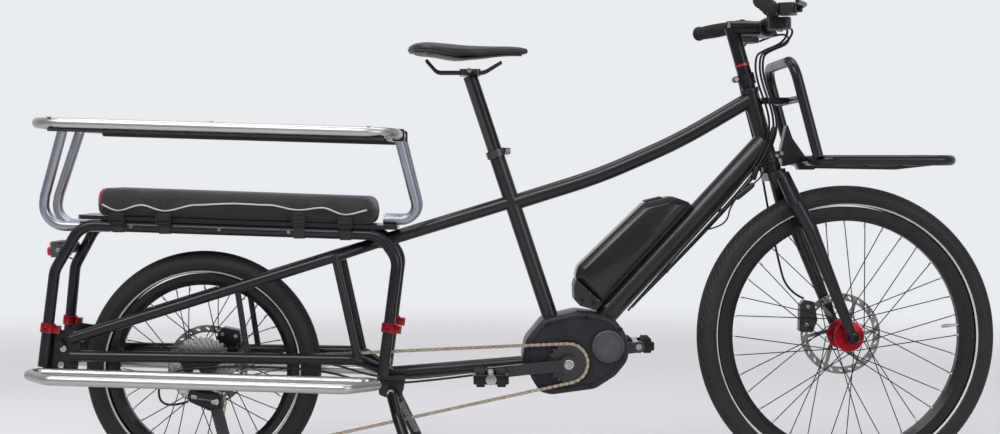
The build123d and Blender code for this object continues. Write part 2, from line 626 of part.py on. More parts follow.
def jockey(centre):
    """Toothless body of a jockey wheel that runs inside the chain's bend."""
    with BuildSketch(side_plane(CHAIN_Y + 3)) as disc:
        with Locations(centre):
            Circle(pitch_radius(JOCKEY_TEETH) - CHAIN_H / 2 - 0.3)
            Circle(JOCKEY_BOLT_R + RUN_FIT, mode=Mode.SUBTRACT)
    extrude(disc.sketch, amount=6)


with BuildPart() as guide_pulley:
    jockey(GUIDE_WHEEL)
save(guide_pulley, "guide_pulley")

with BuildPart() as tension_pulley:
    jockey(TENSION_WHEEL)
save(tension_pulley, "tension_pulley")

COGS, COG_STEP, COG_T = 10, 3.9, 1.8
CASSETTE_BORE = 17.0
with BuildPart() as cassette:
    for i in range(COGS):
        teeth = COG_TEETH + round(i * 2.6)
        outer = pitch_radius(teeth) + 3.0 if i else pitch_radius(teeth) - CHAIN_H / 2 - 0.3
        y = CHAIN_Y + COG_T / 2 + i * COG_STEP
        tube([(REAR_AXLE[0], y - COG_T, REAR_AXLE[1]), (REAR_AXLE[0], y, REAR_AXLE[1])], outer, bore=CASSETTE_BORE)
        if i:
            tube([(REAR_AXLE[0], y - COG_STEP, REAR_AXLE[1]), (REAR_AXLE[0], y - COG_T, REAR_AXLE[1])],
                 CASSETTE_BORE + 2.5, bore=CASSETTE_BORE)
save(cassette, "cassette")

# ---------------------------------------------------------------- wheels
def tyre(axle, radius, width):
    with BuildSketch(wheel_plane(axle)) as section:
        with Locations((radius - width / 2, 0)):
            Circle(width / 2)
            Circle(width / 2 - 4.5, mode=Mode.SUBTRACT)
        with Locations((radius - width + 1.5, 0)):
            Rectangle(width / 2 + 3, 2 * RIM_HALF + 0.4, mode=Mode.SUBTRACT)
    revolve(section.sketch, axis=wheel_axis(axle))


def spoke_ends(axle, flange_r, flange_y, rim_r):
    """Start and end of every spoke, crossing its neighbours between hub and rim."""
    ends = []
    for i in range(SPOKES):
        side = 1 if i % 2 else -1
        lead = radians(62 if (i // 2) % 2 else -62)
        rim_angle = 2 * pi * i / SPOKES
        hub_angle = rim_angle + lead
        hub = Vector(axle[0] + flange_r * cos(hub_angle), flange_y[0] if side < 0 else flange_y[1],
                     axle[1] + flange_r * sin(hub_angle))
        rim = Vector(axle[0] + rim_r * cos(rim_angle), side * 4, axle[1] + rim_r * sin(rim_angle))
        ends.append((hub, rim))
    return ends


def rim(axle, outer, inner, flange_r, flange_y):
    """Box-section rim with its spokes as separate solids."""
    with BuildSketch(wheel_plane(axle)) as section:
        with BuildLine():
            Polyline((inner, -7), (inner + 11, -RIM_HALF), (outer, -RIM_HALF), (outer, RIM_HALF),
                     (inner + 11, RIM_HALF), (inner, 7), close=True)
        make_face()
        with BuildLine():
            Polyline((inner + 2.2, -6), (inner + 12, -RIM_HALF + 2.2), (outer - 8, -RIM_HALF + 2.2),
                     (outer - 8, RIM_HALF - 2.2), (inner + 12, RIM_HALF - 2.2), (inner + 2.2, 6), close=True)
        make_face(mode=Mode.SUBTRACT)
        with Locations((outer - 2.5, 0)):
            Rectangle(6, 2 * RIM_HALF - 4, mode=Mode.SUBTRACT)
    revolve(section.sketch, axis=wheel_axis(axle))
    places = []
    for hub_end, rim_end in spoke_ends(axle, flange_r, flange_y, inner - 0.4):
        places.append(Plane(origin=hub_end, z_dir=rim_end - hub_end).location)
    length = (rim_end - hub_end).length
    with Locations(*places):
        Cylinder(SPOKE_R, length, align=(Align.CENTER, Align.CENTER, Align.MIN))


def hub(axle, flanges, flange_r, shell_r, ends, bore, right_r):
    """Hub shell between its two flanges, turned about the axle; right_r is its radius on the right."""
    right, left = flanges
    with BuildSketch(wheel_plane(axle)) as section:
        with BuildLine():
            Polyline((bore, ends[0]), (bore + 4, ends[0]), (right_r, ends[0] + 9), (right_r, right - 5),
                     (flange_r, right - 1.5), (flange_r, right + 1.5), (shell_r, right + 4), (shell_r, left - 4),
                     (flange_r, left - 1.5), (flange_r, left + 1.5), (shell_r - 4, left + 4),
                     (bore + 4, ends[1]), (bore, ends[1]), close=True)
        make_face()
    revolve(section.sketch, axis=wheel_axis(axle))


def rotor(axle, y, carrier_r):
    """Brake disc: slotted ring on a six-armed carrier."""
    with BuildSketch(side_plane(y + ROTOR_T / 2)) as disc:
        with Locations(axle):
            Circle(ROTOR_R)
            Circle(ROTOR_R - 16, mode=Mode.SUBTRACT)
            Circle(carrier_r + 9)
            with PolarLocations(carrier_r / 2 + ROTOR_R / 2 - 3, 6):
                Rectangle(ROTOR_R - carrier_r - 12, 8, rotation=14)
            Circle(carrier_r, mode=Mode.SUBTRACT)
            with PolarLocations(ROTOR_R - 8, 24):
                SlotOverall(10, 4, rotation=60, mode=Mode.SUBTRACT)
    extrude(disc.sketch, amount=ROTOR_T)


FRONT_FLANGES, REAR_FLANGES = (-29.0, 29.0), (-15.0, 35.0)
FRONT_FLANGE_R, REAR_FLANGE_R = 33.0, 33.0
with BuildPart() as front_tyre:
    tyre(FRONT_AXLE, FRONT_TYRE_R, FRONT_TYRE_W)
save(front_tyre, "front_tyre", steered=True)

with BuildPart() as front_rim:
    rim(FRONT_AXLE, FRONT_RIM_R, FRONT_RIM_IN, FRONT_FLANGE_R + 1.9, FRONT_FLANGES)
save(front_rim, "front_rim", steered=True)

with BuildPart() as front_hub:
    hub(FRONT_AXLE, FRONT_FLANGES, FRONT_FLANGE_R, 22, (-49.0, 49.0), 7.5 + RUN_FIT, 18)
save(front_hub, "front_hub", steered=True)

with BuildPart() as front_rotor:
    rotor(FRONT_AXLE, FRONT_ROTOR_Y, 20)
    cut_by(front_hub)
save(front_rotor, "front_rotor", steered=True)

with BuildPart() as rear_tyre:
    tyre(REAR_AXLE, REAR_TYRE_R, REAR_TYRE_W)
save(rear_tyre, "rear_tyre")

with BuildPart() as rear_rim:
    rim(REAR_AXLE, REAR_RIM_R, REAR_RIM_IN, REAR_FLANGE_R + 1.9, REAR_FLANGES)
save(rear_rim, "rear_rim")

with BuildPart() as rear_hub:
    hub(REAR_AXLE, REAR_FLANGES, REAR_FLANGE_R, 24, (-64.0, 70.0), AXLE_R + RUN_FIT, CASSETTE_BORE - RUN_FIT)
save(rear_hub, "rear_hub")

with BuildPart() as rear_rotor:
    rotor(REAR_AXLE, REAR_ROTOR_Y, 20)
    cut_by(rear_hub)
save(rear_rotor, "rear_rotor")

# ---------------------------------------------------------------- fork and front axle
CROWN_Z = 686.0
BLADE = [(773, 34, 686), (797, 56, 622), (828, 58, 566), (FRONT_AXLE[0], 58, FRONT_AXLE[1])]
BLADE_R = (15.0, 17.0, 16.0, 10.5)          # radius at each point of the blade
with BuildPart() as fork:
    for side in (-1, 1):
        points = [Vector(x, side * y, z) for x, y, z in BLADE]
        runs = [(end - start).normalized() for start, end in zip(points, points[1:])]
        facings = [runs[0], runs[0] + runs[1], runs[1] + runs[2], runs[2]]
        for point, facing, radius in zip(points, facings, BLADE_R):
            with BuildSketch(Plane(origin=point, x_dir=(0, 1, 0), z_dir=facing)):
                Circle(radius)
        loft(ruled=True)
    tube([on_axis(CROWN_Z), on_axis(900)], STEERER_R)
    with BuildSketch(head_plane(HEAD_BOTTOM - 0.4)) as crown_top:
        Circle(CUP_R)
    extrude(crown_top.sketch, amount=-14)
    with BuildSketch(head_plane(CROWN_Z)) as crown:
        RectangleRounded(42, 98, 18)
    extrude(crown.sketch, amount=9, both=True)
    tube([on_axis(CROWN_Z + 14), on_axis(905)], STEERER_R - 2.5, mode=Mode.SUBTRACT)
    for side in (-1, 1):
        with BuildSketch(side_plane(side * 58 + 5)) as dropout:
            with Locations(FRONT_AXLE):
                Circle(15)
        extrude(dropout.sketch, amount=10)
    with BuildSketch(Plane(origin=(FRONT_AXLE[0], 0, FRONT_AXLE[1]), z_dir=(0, 1, 0))) as slot:
        Circle(120)
    extrude(slot.sketch, amount=49.5, both=True, mode=Mode.SUBTRACT)
    tube([(FRONT_AXLE[0], -64, FRONT_AXLE[1]), (FRONT_AXLE[0], 66, FRONT_AXLE[1])], 7.5)
    tube([(FRONT_AXLE[0], -70, FRONT_AXLE[1]), (FRONT_AXLE[0], -63, FRONT_AXLE[1])], 11)
save(fork, "fork", steered=True)

with BuildPart() as front_caliper:
    with BuildSketch(side_plane(27.5)) as front_caliper_side:
        with BuildLine():
            Polyline((826, 336), (828, 397), (838, 407), (860, 403), (867, 362), (856, 334), close=True)
        make_face()
        fillet(front_caliper_side.vertices(), 5)
    extrude(front_caliper_side.sketch, amount=-19)
    with BuildSketch(side_plane(FRONT_ROTOR_Y - 1.6)) as front_gap:
        with Locations(FRONT_AXLE):
            Circle(ROTOR_R + 3)
    extrude(front_gap.sketch, amount=-3.2, mode=Mode.SUBTRACT)
    cut_by(fork)
save(front_caliper, "front_caliper", steered=True)

# ---------------------------------------------------------------- stem, bar and controls
BAR_CENTRE = (745.0, 1010.0)
RISER_TOP = on_axis(1012)
BAR_RIGHT = [(660, -312, 1031), (735, -120, 1031), (745, -56, 1010)]
BAR = BAR_RIGHT + [(x, -y, z) for x, y, z in reversed(BAR_RIGHT)]
BAR_R = 11.1
with BuildPart() as stem:
    tube([on_axis(HEAD_TOP + 0.4), RISER_TOP], 15.6)
    tube([on_axis(884), on_axis(908)], 19.2)
    tube([on_axis(896) + Vector(-24, -9, 0), on_axis(896) + Vector(-24, 9, 0)], 7)
    tube([(RISER_TOP.X - 6, 0, BAR_CENTRE[1]), (BAR_CENTRE[0], 0, BAR_CENTRE[1])], 16)
    with BuildSketch(Plane(origin=(BAR_CENTRE[0], 0, BAR_CENTRE[1]), z_dir=(0, 1, 0))) as bar_clamp:
        Circle(21)
    extrude(bar_clamp.sketch, amount=22, both=True)
    tube([on_axis(HEAD_TOP - 5), on_axis(900)], STEERER_R + 0.01, mode=Mode.SUBTRACT)
    tube([(BAR_CENTRE[0], -40, BAR_CENTRE[1]), (BAR_CENTRE[0], 40, BAR_CENTRE[1])], 15.9, mode=Mode.SUBTRACT)
save(stem, "stem", steered=True)

with BuildPart() as stem_ring:
    tube([on_axis(926), on_axis(931)], 16.6, bore=15.65)
save(stem_ring, "stem_ring", steered=True)

with BuildPart() as handlebar:
    tube(BAR, BAR_R, 32)
    tube([(745, -24, 1010), (745, 24, 1010)], 15.88)
    tube(BAR, BAR_R - 2, 32, mode=Mode.SUBTRACT)
save(handlebar, "handlebar", steered=True)

BAR_END, BAR_KNEE = Vector(*BAR[0]), Vector(*BAR[1])
BAR_DIR = (BAR_END - BAR_KNEE).normalized()
GRIP_R, GRIP_LENGTH = 16.0, 132.0


def on_bar(distance):
    """Point of the right bar end at a distance inboard of its tip."""
    return BAR_END - BAR_DIR * distance


with BuildPart() as grips:
    tube([on_bar(GRIP_LENGTH), on_bar(-4)], GRIP_R)
    fillet(grips.edges().filter_by(GeomType.CIRCLE), 3)
    tube([on_bar(GRIP_LENGTH + 1), on_bar(0)], BAR_R + 0.02, mode=Mode.SUBTRACT)
    mirror(about=Plane.XZ)
save(grips, "grips", steered=True)

FORWARD = Vector(-BAR_DIR.Y, BAR_DIR.X, 0).normalized()
LEVER_HUB = on_bar(GRIP_LENGTH + 14) + FORWARD * 58
LEVER_HUB_R, LEVER_HALF, LEVER_PIN_R = 7.0, 6.0, 2.5
with BuildPart() as bar_controls:
    tube([on_bar(GRIP_LENGTH + 32), on_bar(GRIP_LENGTH + 18)], 15.5)
    tube([on_bar(GRIP_LENGTH + 52), on_bar(GRIP_LENGTH + 40)], 15.5)
    reservoir = Plane(origin=on_bar(GRIP_LENGTH + 28) + FORWARD * 32, x_dir=BAR_DIR, z_dir=(0, 0, 1))
    with BuildSketch(reservoir):
        RectangleRounded(56, 36, 9)
    extrude(amount=11, both=True)
    shifter = Plane(origin=on_bar(GRIP_LENGTH + 46) + Vector(14, 0, -27), x_dir=BAR_DIR, z_dir=(0, 0, 1))
    with BuildSketch(shifter):
        RectangleRounded(40, 46, 10)
    extrude(amount=12, both=True)
    for up in (LEVER_HALF + 0.4, -LEVER_HALF - 2.9):
        with BuildSketch(Plane(origin=LEVER_HUB + Vector(0, 0, up) - FORWARD * 7, x_dir=FORWARD, z_dir=(0, 0, 1))):
            SlotOverall(26, 13)
        extrude(amount=2.5)
    tube([LEVER_HUB - Vector(0, 0, 8), LEVER_HUB + Vector(0, 0, 8)], LEVER_PIN_R)
    tube([on_bar(GRIP_LENGTH + 80), on_bar(GRIP_LENGTH + 1)], BAR_R + 0.02, mode=Mode.SUBTRACT)
    mirror(about=Plane.XZ)
save(bar_controls, "bar_controls", steered=True)

with BuildPart() as brake_lever_right:
    tube([LEVER_HUB - Vector(0, 0, LEVER_HALF), LEVER_HUB + Vector(0, 0, LEVER_HALF)], LEVER_HUB_R)
    tube([LEVER_HUB + BAR_DIR * 2, on_bar(GRIP_LENGTH - 34) + FORWARD * 76, on_bar(34) + FORWARD * 66], 4.6, 50)
    tube([LEVER_HUB - Vector(0, 0, 8), LEVER_HUB + Vector(0, 0, 8)], LEVER_PIN_R + RUN_FIT, mode=Mode.SUBTRACT)
save(brake_lever_right, "brake_lever_right", steered=True)

with BuildPart() as brake_lever_left:
    add(mirror(brake_lever_right.part, about=Plane.XZ, mode=Mode.PRIVATE))
save(brake_lever_left, "brake_lever_left", steered=True)

SHIFT_PIVOT = on_bar(GRIP_LENGTH + 40) + Vector(14, 0, -43)
with BuildPart() as shift_lever:
    with BuildSketch(Plane(origin=SHIFT_PIVOT, x_dir=BAR_DIR, z_dir=(0, 0, 1))) as paddle:
        SlotCenterToCenter(34, 12)
    extrude(paddle.sketch, amount=3)
save(shift_lever, "shift_lever", steered=True)

with BuildPart() as display:
    with BuildSketch(Plane(origin=(728, -88, 1062), x_dir=(0, 1, 0), z_dir=(-0.5, 0, 0.87))):
        RectangleRounded(62, 44, 8)
    extrude(amount=13)
    fillet(display.faces().sort_by(Axis.Z)[-1].edges(), 2)
    tube([(733, -88, 1022), (729, -88, 1063)], 7)
    tube(BAR, BAR_R + 0.02, 32, mode=Mode.SUBTRACT)
save(display, "display", steered=True)

# ---------------------------------------------------------------- cranks, pedals and sprocket
ARM_Y, ARM_T, PEDAL_BORE = 72.0, 13.0, 7.0
arm_angle = radians(180 + CRANK_ANGLE)
PEDAL_RIGHT = (CRANK[0] + CRANK_LENGTH * cos(arm_angle), CRANK[1] + CRANK_LENGTH * sin(arm_angle))
PEDAL_LEFT = (2 * CRANK[0] - PEDAL_RIGHT[0], 2 * CRANK[1] - PEDAL_RIGHT[1])
with BuildPart() as cranks:
    tube([(CRANK[0], -ARM_Y - 4, CRANK[1]), (CRANK[0], ARM_Y + 4, CRANK[1])], SPINDLE_R)
    for end, y in ((PEDAL_RIGHT, -ARM_Y), (PEDAL_LEFT, ARM_Y + ARM_T)):
        with BuildSketch(side_plane(y)) as arm:
            with Locations(CRANK):
                Circle(19)
            with Locations(end):
                Circle(13)
            middle = ((CRANK[0] + end[0]) / 2, (CRANK[1] + end[1]) / 2)
            with Locations(middle):
                Rectangle(CRANK_LENGTH, 24, rotation=CRANK_ANGLE)
            with Locations(end):
                Circle(PEDAL_BORE + RUN_FIT, mode=Mode.SUBTRACT)
        extrude(arm.sketch, amount=ARM_T)
save(cranks, "cranks")

with BuildPart() as sprocket:
    with BuildSketch(side_plane(CHAIN_Y + 2)) as ring:
        with Locations(CRANK):
            Circle(pitch_radius(SPROCKET_TEETH) - CHAIN_H / 2 - 0.4)
            Circle(SPINDLE_R + RUN_FIT, mode=Mode.SUBTRACT)
            with PolarLocations(26, 5):
                Circle(5, mode=Mode.SUBTRACT)
    extrude(ring.sketch, amount=4)
save(sprocket, "sprocket")


def pedal(centre, side):
    """Platform pedal on its axle; side is -1 for the right pedal and +1 for the left."""
    inner, outer = ARM_Y + ARM_T + 4, ARM_Y + ARM_T + 100
    with BuildSketch(side_plane(side * inner if side < 0 else outer)) as body:
        with Locations(centre):
            RectangleRounded(76, 34, 12)
            for shift in (-24, 24):
                with Locations((shift, 0)):
                    Circle(8, mode=Mode.SUBTRACT)
    extrude(body.sketch, amount=outer - inner)
    tube([(centre[0], side * (ARM_Y - 1), centre[1]), (centre[0], side * (inner + 5), centre[1])], PEDAL_BORE)


with BuildPart() as pedal_right:
    pedal(PEDAL_RIGHT, -1)
save(pedal_right, "pedal_right")

with BuildPart() as pedal_left:
    pedal(PEDAL_LEFT, 1)
save(pedal_left, "pedal_left")

# ---------------------------------------------------------------- saddle and seat post
POST_TOP = SEAT_RIM + SEAT_DIR * 172
with BuildPart() as seatpost:
    tube([POST_TOP - SEAT_DIR * 330, POST_TOP], POST_R, bore=POST_R - 2.4)
    with BuildSketch(Plane(origin=(POST_TOP.X, 0, POST_TOP.Z), z_dir=(0, 0, 1))) as head:
        RectangleRounded(46, 56, 8)
    extrude(head.sketch, amount=14)
    for y in (-22, 22):
        tube([(-6, y, POST_TOP.Z + 34), (18, y, POST_TOP.Z + 7), (122, y, POST_TOP.Z + 7),
              (160, y * 0.5, POST_TOP.Z + 30)], 3.5, (20, 30))
save(seatpost, "seatpost")

SADDLE_TOP, SADDLE_LOW = 977.0, POST_TOP.Z + 38
with BuildPart() as saddle:
    with BuildSketch(Plane.XY.offset(SADDLE_LOW)):
        with BuildLine():
            Spline((-39, 0), (-33, 62), (0, 88), (48, 72), (110, 32), (200, 19), (218, 0))
            Spline((218, 0), (200, -19), (110, -32), (48, -72), (0, -88), (-33, -62), (-39, 0))
        make_face()
    extrude(amount=SADDLE_TOP - SADDLE_LOW)
    fillet(saddle.faces().sort_by(Axis.Z)[-1].edges(), 9)
save(saddle, "saddle")

# ---------------------------------------------------------------- kickstand
FOOT_H = 8.0
with BuildPart() as kickstand:
    tube([(STAND[0], -52, STAND[1]), (STAND[0], 52, STAND[1])], 9)
    for side in (-1, 1):
        tube([(STAND[0] + 1, side * 44, STAND[1] - 2), (STAND[0] + 17, side * 90, STAND[1] - 47),
              (-1, side * STAND_FOOT_Y, FOOT_H)], 12, 22)
        with BuildSketch(Plane.XY) as foot:
            with Locations((0, side * STAND_FOOT_Y)):
                RectangleRounded(42, 34, 10)
        extrude(foot.sketch, amount=FOOT_H + 4)
    with BuildSketch(Plane.XY) as ground:
        Rectangle(600, 600)
    extrude(ground.sketch, amount=-30, mode=Mode.SUBTRACT)
save(kickstand, "kickstand")

# ---------------------------------------------------------------- cables
CABLE_R = 2.6
SPLIT_Z = 938.0                             # height at which the bundle leaves the steered parts
BUNDLE = [(-8.0, -24.0), (0.0, -30.0), (8.0, -24.0)]
with BuildPart() as frame_cables:
    for dx, y in BUNDLE:
        tube([(724 + dx, y, SPLIT_Z), (726 + dx, y, 897), (760 + dx, y - 4, 805), (744 + dx, y - 4, 742),
              (700 + dx, y - 6, 672), (560 + dx, y - 6, 520), (445 + dx, y - 2, 396 + dx)],
             CABLE_R, (35, 50, 60, 70, 90))
    tube([(212, 24, 262), (60, 24, 240), (-100, 34, 226), (-240, 60, 268), (-380, 60, 274), (-424, 56, 300)],
         CABLE_R, (60, 50, 60, 60))
    tube([(212, -24, 262), (60, -24, 240), (-120, -40, 226), (-240, -78, 270), (-540, -84, 275),
          (-585, -84, 230), (-570, -80, 180), (-518, -72, 196)], CABLE_R, (60, 50, 60, 25, 25, 25))
    cut_by(motor_core, frame_brackets, down_core, battery_dock)
save(frame_cables, "frame_cables")

SPLIT_GAP = 5.0
with BuildPart() as steering_cables:
    for (dx, y), start in zip(BUNDLE, ((735, -92, 1004), (722, -112, 1000), (748, 70, 988))):
        tube([start, (790 + dx, start[1] * 0.7, 1010), (786 + dx, y * 1.4, 975), (736 + dx, y, SPLIT_Z + 18),
              (724 + dx, y, SPLIT_Z + SPLIT_GAP)], CABLE_R, (16, 16, 20))
    tube([(744, 104, 1006), (716, 62, 985), on_axis(940) + Vector(-6, 50, 0), on_axis(720) + Vector(-7, 58, 0),
          (768, 61, 590), (786, 60, 500), (804, 54, 425), (840, 41, 409)], CABLE_R, (25, 45, 60, 60, 60, 30))
    cut_by(front_caliper)
save(steering_cables, "steering_cables", steered=True)

# ---------------------------------------------------------------- bolts of the frame
with BuildPart() as frame_bolts:
    for x, z in REAR_BOLTS:
        for side in (-1, 1):
            with BuildSketch(side_plane(side * 84.5 + (2.5 if side < 0 else 5))) as bolt_head:
                with Locations((x, z)):
                    Circle(7)
            extrude(bolt_head.sketch, amount=5)
            tube([(x, side * 83, z), (x, side * 71, z)], 4.05)
    tube([clamp_bolt - Vector(0, 11, 0), clamp_bolt + Vector(0, 11, 0)], 3)
    for side in (-1, 1):
        tube([clamp_bolt + Vector(0, side * 9.3, 0), clamp_bolt + Vector(0, side * 14, 0)], 5.5)
    cut_by(rack_core, frame_brackets)
save(frame_bolts, "frame_bolts")
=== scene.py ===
"""Looks of the longtail cargo bicycle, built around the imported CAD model.

Lengths are millimetres in the row frame (+X forward, +Y left, +Z up) until a mesh becomes an object.
"""
import json
from math import acos, atan2, ceil, cos, hypot, pi, radians, sin, tau

import bmesh
import bpy
from mathutils import Matrix, Vector
from mathutils.bvhtree import BVHTree


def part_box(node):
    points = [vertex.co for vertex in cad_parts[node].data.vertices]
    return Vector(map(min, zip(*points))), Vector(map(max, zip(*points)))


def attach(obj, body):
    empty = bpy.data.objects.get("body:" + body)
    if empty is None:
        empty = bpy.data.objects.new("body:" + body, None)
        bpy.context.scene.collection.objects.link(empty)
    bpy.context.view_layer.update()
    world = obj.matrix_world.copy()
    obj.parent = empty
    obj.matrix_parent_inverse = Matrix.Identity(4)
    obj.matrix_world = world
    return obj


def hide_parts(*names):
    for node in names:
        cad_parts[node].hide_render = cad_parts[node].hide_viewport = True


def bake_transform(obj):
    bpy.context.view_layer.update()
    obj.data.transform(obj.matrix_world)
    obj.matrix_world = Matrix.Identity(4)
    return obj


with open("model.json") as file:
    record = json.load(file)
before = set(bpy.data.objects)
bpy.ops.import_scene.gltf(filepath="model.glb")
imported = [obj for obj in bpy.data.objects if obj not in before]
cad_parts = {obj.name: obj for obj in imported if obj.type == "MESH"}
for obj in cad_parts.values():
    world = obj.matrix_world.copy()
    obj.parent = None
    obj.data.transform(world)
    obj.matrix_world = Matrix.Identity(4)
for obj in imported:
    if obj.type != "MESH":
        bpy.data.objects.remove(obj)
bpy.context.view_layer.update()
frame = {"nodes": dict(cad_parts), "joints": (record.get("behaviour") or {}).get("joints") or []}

MM = 0.001
NODES = frame["nodes"]
JOINTS = {joint["name"]: joint for joint in frame["joints"]}


# ---------------------------------------------------------------- objects and camera
def add_object(name, data):
    """New object in the scene."""
    obj = bpy.data.objects.new(name, data)
    bpy.context.scene.collection.objects.link(obj)
    return obj


def mesh_of(bm, name):
    mesh = bpy.data.meshes.new(name)
    bm.to_mesh(mesh)
    bm.free()
    return mesh


def make_camera():
    data = bpy.data.cameras.new("camera")
    data.lens, data.sensor_width = 52.1, 36.0
    data.shift_x, data.shift_y = 0.029, -0.045
    camera = add_object("camera", data)
    camera.location = (0.0929, -3.2, 0.692)
    camera.rotation_euler = (radians(90), 0, 0)
    bpy.context.scene.camera = camera


make_camera()


# ---------------------------------------------------------------- places taken from the frame
def joint_place(name):
    """Point (mm) and direction of a joint's axis."""
    joint = JOINTS[name]
    return Vector(joint["pos_m"]) / MM, Vector(joint["axis"]).normalized()


FRONT_AXLE, FRONT_DIR = joint_place("front_wheel_spin")
REAR_AXLE, REAR_DIR = joint_place("rear_wheel_spin")
CRANK, _ = joint_place("crank_spin")
GUIDE, _ = joint_place("guide_pulley_spin")
TENSION, _ = joint_place("tension_pulley_spin")
STEER_POINT, STEER_DIR = joint_place("steer")
PARKED = radians(2.5)
STEERED = (Matrix.Translation(STEER_POINT) @ Matrix.Rotation(PARKED, 4, STEER_DIR)
           @ Matrix.Translation(-STEER_POINT))
STRAIGHT = Matrix.Identity(4)


def corners(node):
    low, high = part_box(node)
    return low / MM, high / MM


def beside(point, y):
    """The point moved across the bicycle to y."""
    return Vector((point.x, y, point.z))


# ---------------------------------------------------------------- materials
def principled(name):
    material = bpy.data.materials.new(name)
    material.use_nodes = True
    tree = material.node_tree
    return material, tree, tree.nodes["Principled BSDF"]


def connect(tree, node, **sockets):
    """Link the sockets given as outputs and set the others; an underscore stands for a space."""
    for name, value in sockets.items():
        socket = node.inputs[name.replace("_", " ")]
        if isinstance(value, bpy.types.NodeSocket):
            tree.links.new(value, socket)
        else:
            socket.default_value = value


def add(tree, kind, settings=(), **sockets):
    """New shader node with its settings and sockets; gives its outputs."""
    node = tree.nodes.new("ShaderNode" + kind)
    for name, value in dict(settings).items():
        setattr(node, name, value)
    connect(tree, node, **sockets)
    return node.outputs


def coordinates(tree, scale, stretch=(1, 1, 1)):
    """Object coordinates, stretched and scaled."""
    return add(tree, "Mapping", Vector=add(tree, "TexCoord")["Object"],
               Scale=[scale * s for s in stretch])["Vector"]


def noise(tree, scale, stretch=(1, 1, 1), detail=4.0):
    return add(tree, "TexNoise", Scale=1.0, Detail=detail, Vector=coordinates(tree, scale, stretch))["Fac"]


def spread(tree, value, low, high):
    """Map a 0..1 texture onto a range."""
    return add(tree, "MapRange", From_Min=0.25, From_Max=0.75, To_Min=low, To_Max=high, Value=value)["Result"]


def blend_colours(tree, value, first, second, low=0.3, high=0.7):
    ramp = tree.nodes.new("ShaderNodeValToRGB")
    for element, position, colour in zip(ramp.color_ramp.elements, (low, high), (first, second)):
        element.position, element.color = position, (*colour, 1)
    tree.links.new(value, ramp.inputs["Fac"])
    return ramp.outputs["Color"]


def shade(colour, factor):
    return [min(1.0, c * factor) for c in colour]


def add_bump(tree, shader, height, strength, distance):
    connect(tree, shader, Normal=add(tree, "Bump", Strength=strength, Distance=distance, Height=height)["Normal"])


def worn_edges(tree, base, colour, amount):
    """Lighter colour on the sharpest convex edges."""
    wear = blend_colours(tree, add(tree, "NewGeometry")["Pointiness"], (0, 0, 0), [amount] * 3, 0.56, 0.70)
    return add(tree, "Mix", {"data_type": "RGBA"}, Factor=wear, A=base, B=(*colour, 1))["Result"]


def surface(name, colour, roughness, metallic=0.0, patch=14.0, vary=0.22, grain=900.0, bump=0.1,
            depth=0.0002, coat=0.0, stretch=(1, 1, 1), wear=None, specular=0.3):
    """General finish: mottled colour, uneven roughness, fine grain and worn edges."""
    material, tree, shader = principled(name)
    mottled = blend_colours(tree, noise(tree, patch), shade(colour, 1 - vary), shade(colour, 1 + vary))
    if wear:
        mottled = worn_edges(tree, mottled, wear, 0.6)
    rough = spread(tree, noise(tree, patch * 4, stretch), max(0.02, roughness - 0.08), roughness + 0.08)
    connect(tree, shader, Base_Color=mottled, Roughness=rough, Metallic=metallic, Specular_IOR_Level=specular,
            Coat_Weight=coat, Coat_Roughness=0.12)
    add_bump(tree, shader, noise(tree, grain, stretch), bump, depth)
    return material


def weave(name, colour, accent, pitch, bump=0.6, sheen=0.35, roughness=0.85):
    """Woven cloth: crossed threads, colour flecks and a little sheen."""
    material, tree, shader = principled(name)
    total = None
    for direction in "XYZ":
        wave = add(tree, "TexWave", {"bands_direction": direction}, Scale=0.314 / pitch, Distortion=0.6,
                   Detail=1.0, Vector=coordinates(tree, 1.0))["Fac"]
        total = math_node(tree, "ADD", total, wave) if total else wave
    fleck = math_node(tree, "MULTIPLY", total, noise(tree, 1.3 / pitch, detail=6.0))
    connect(tree, shader, Base_Color=blend_colours(tree, fleck, colour, accent, 0.35, 1.2),
            Roughness=spread(tree, noise(tree, 30), roughness - 0.06, roughness + 0.06),
            Sheen_Weight=sheen, Sheen_Roughness=0.5)
    add_bump(tree, shader, total, bump, pitch * 0.3)
    return material


def math_node(tree, operation, first, second):
    node = tree.nodes.new("ShaderNodeMath")
    node.operation = operation
    tree.links.new(first, node.inputs[0])
    tree.links.new(second, node.inputs[1])
    return node.outputs["Value"]


def grained(name, colour, roughness, cell, bump):
    """Leather or textured moulding: cells with fine creases between them."""
    material, tree, shader = principled(name)
    cells = add(tree, "TexVoronoi", {"feature": "DISTANCE_TO_EDGE"}, Scale=1.0,
                Vector=coordinates(tree, 1 / cell))
    mottled = blend_colours(tree, noise(tree, 25), shade(colour, 0.75), shade(colour, 1.3))
    connect(tree, shader, Base_Color=mottled,
            Roughness=spread(tree, noise(tree, 60), roughness - 0.07, roughness + 0.07))
    add_bump(tree, shader, cells["Distance"], bump, cell * 0.25)
    return material


def lens_material(name, colour, clear):
    material, tree, shader = principled(name)
    connect(tree, shader, Base_Color=blend_colours(tree, noise(tree, 60), shade(colour, 0.8), shade(colour, 1.1)),
            Roughness=0.12, Transmission_Weight=clear, IOR=1.49, Coat_Weight=0.5)
    ribs = add(tree, "TexWave", {"bands_direction": "Y"}, Scale=60.0, Vector=coordinates(tree, 1.0))
    add_bump(tree, shader, ribs["Fac"], 0.3, 0.0008)
    return material


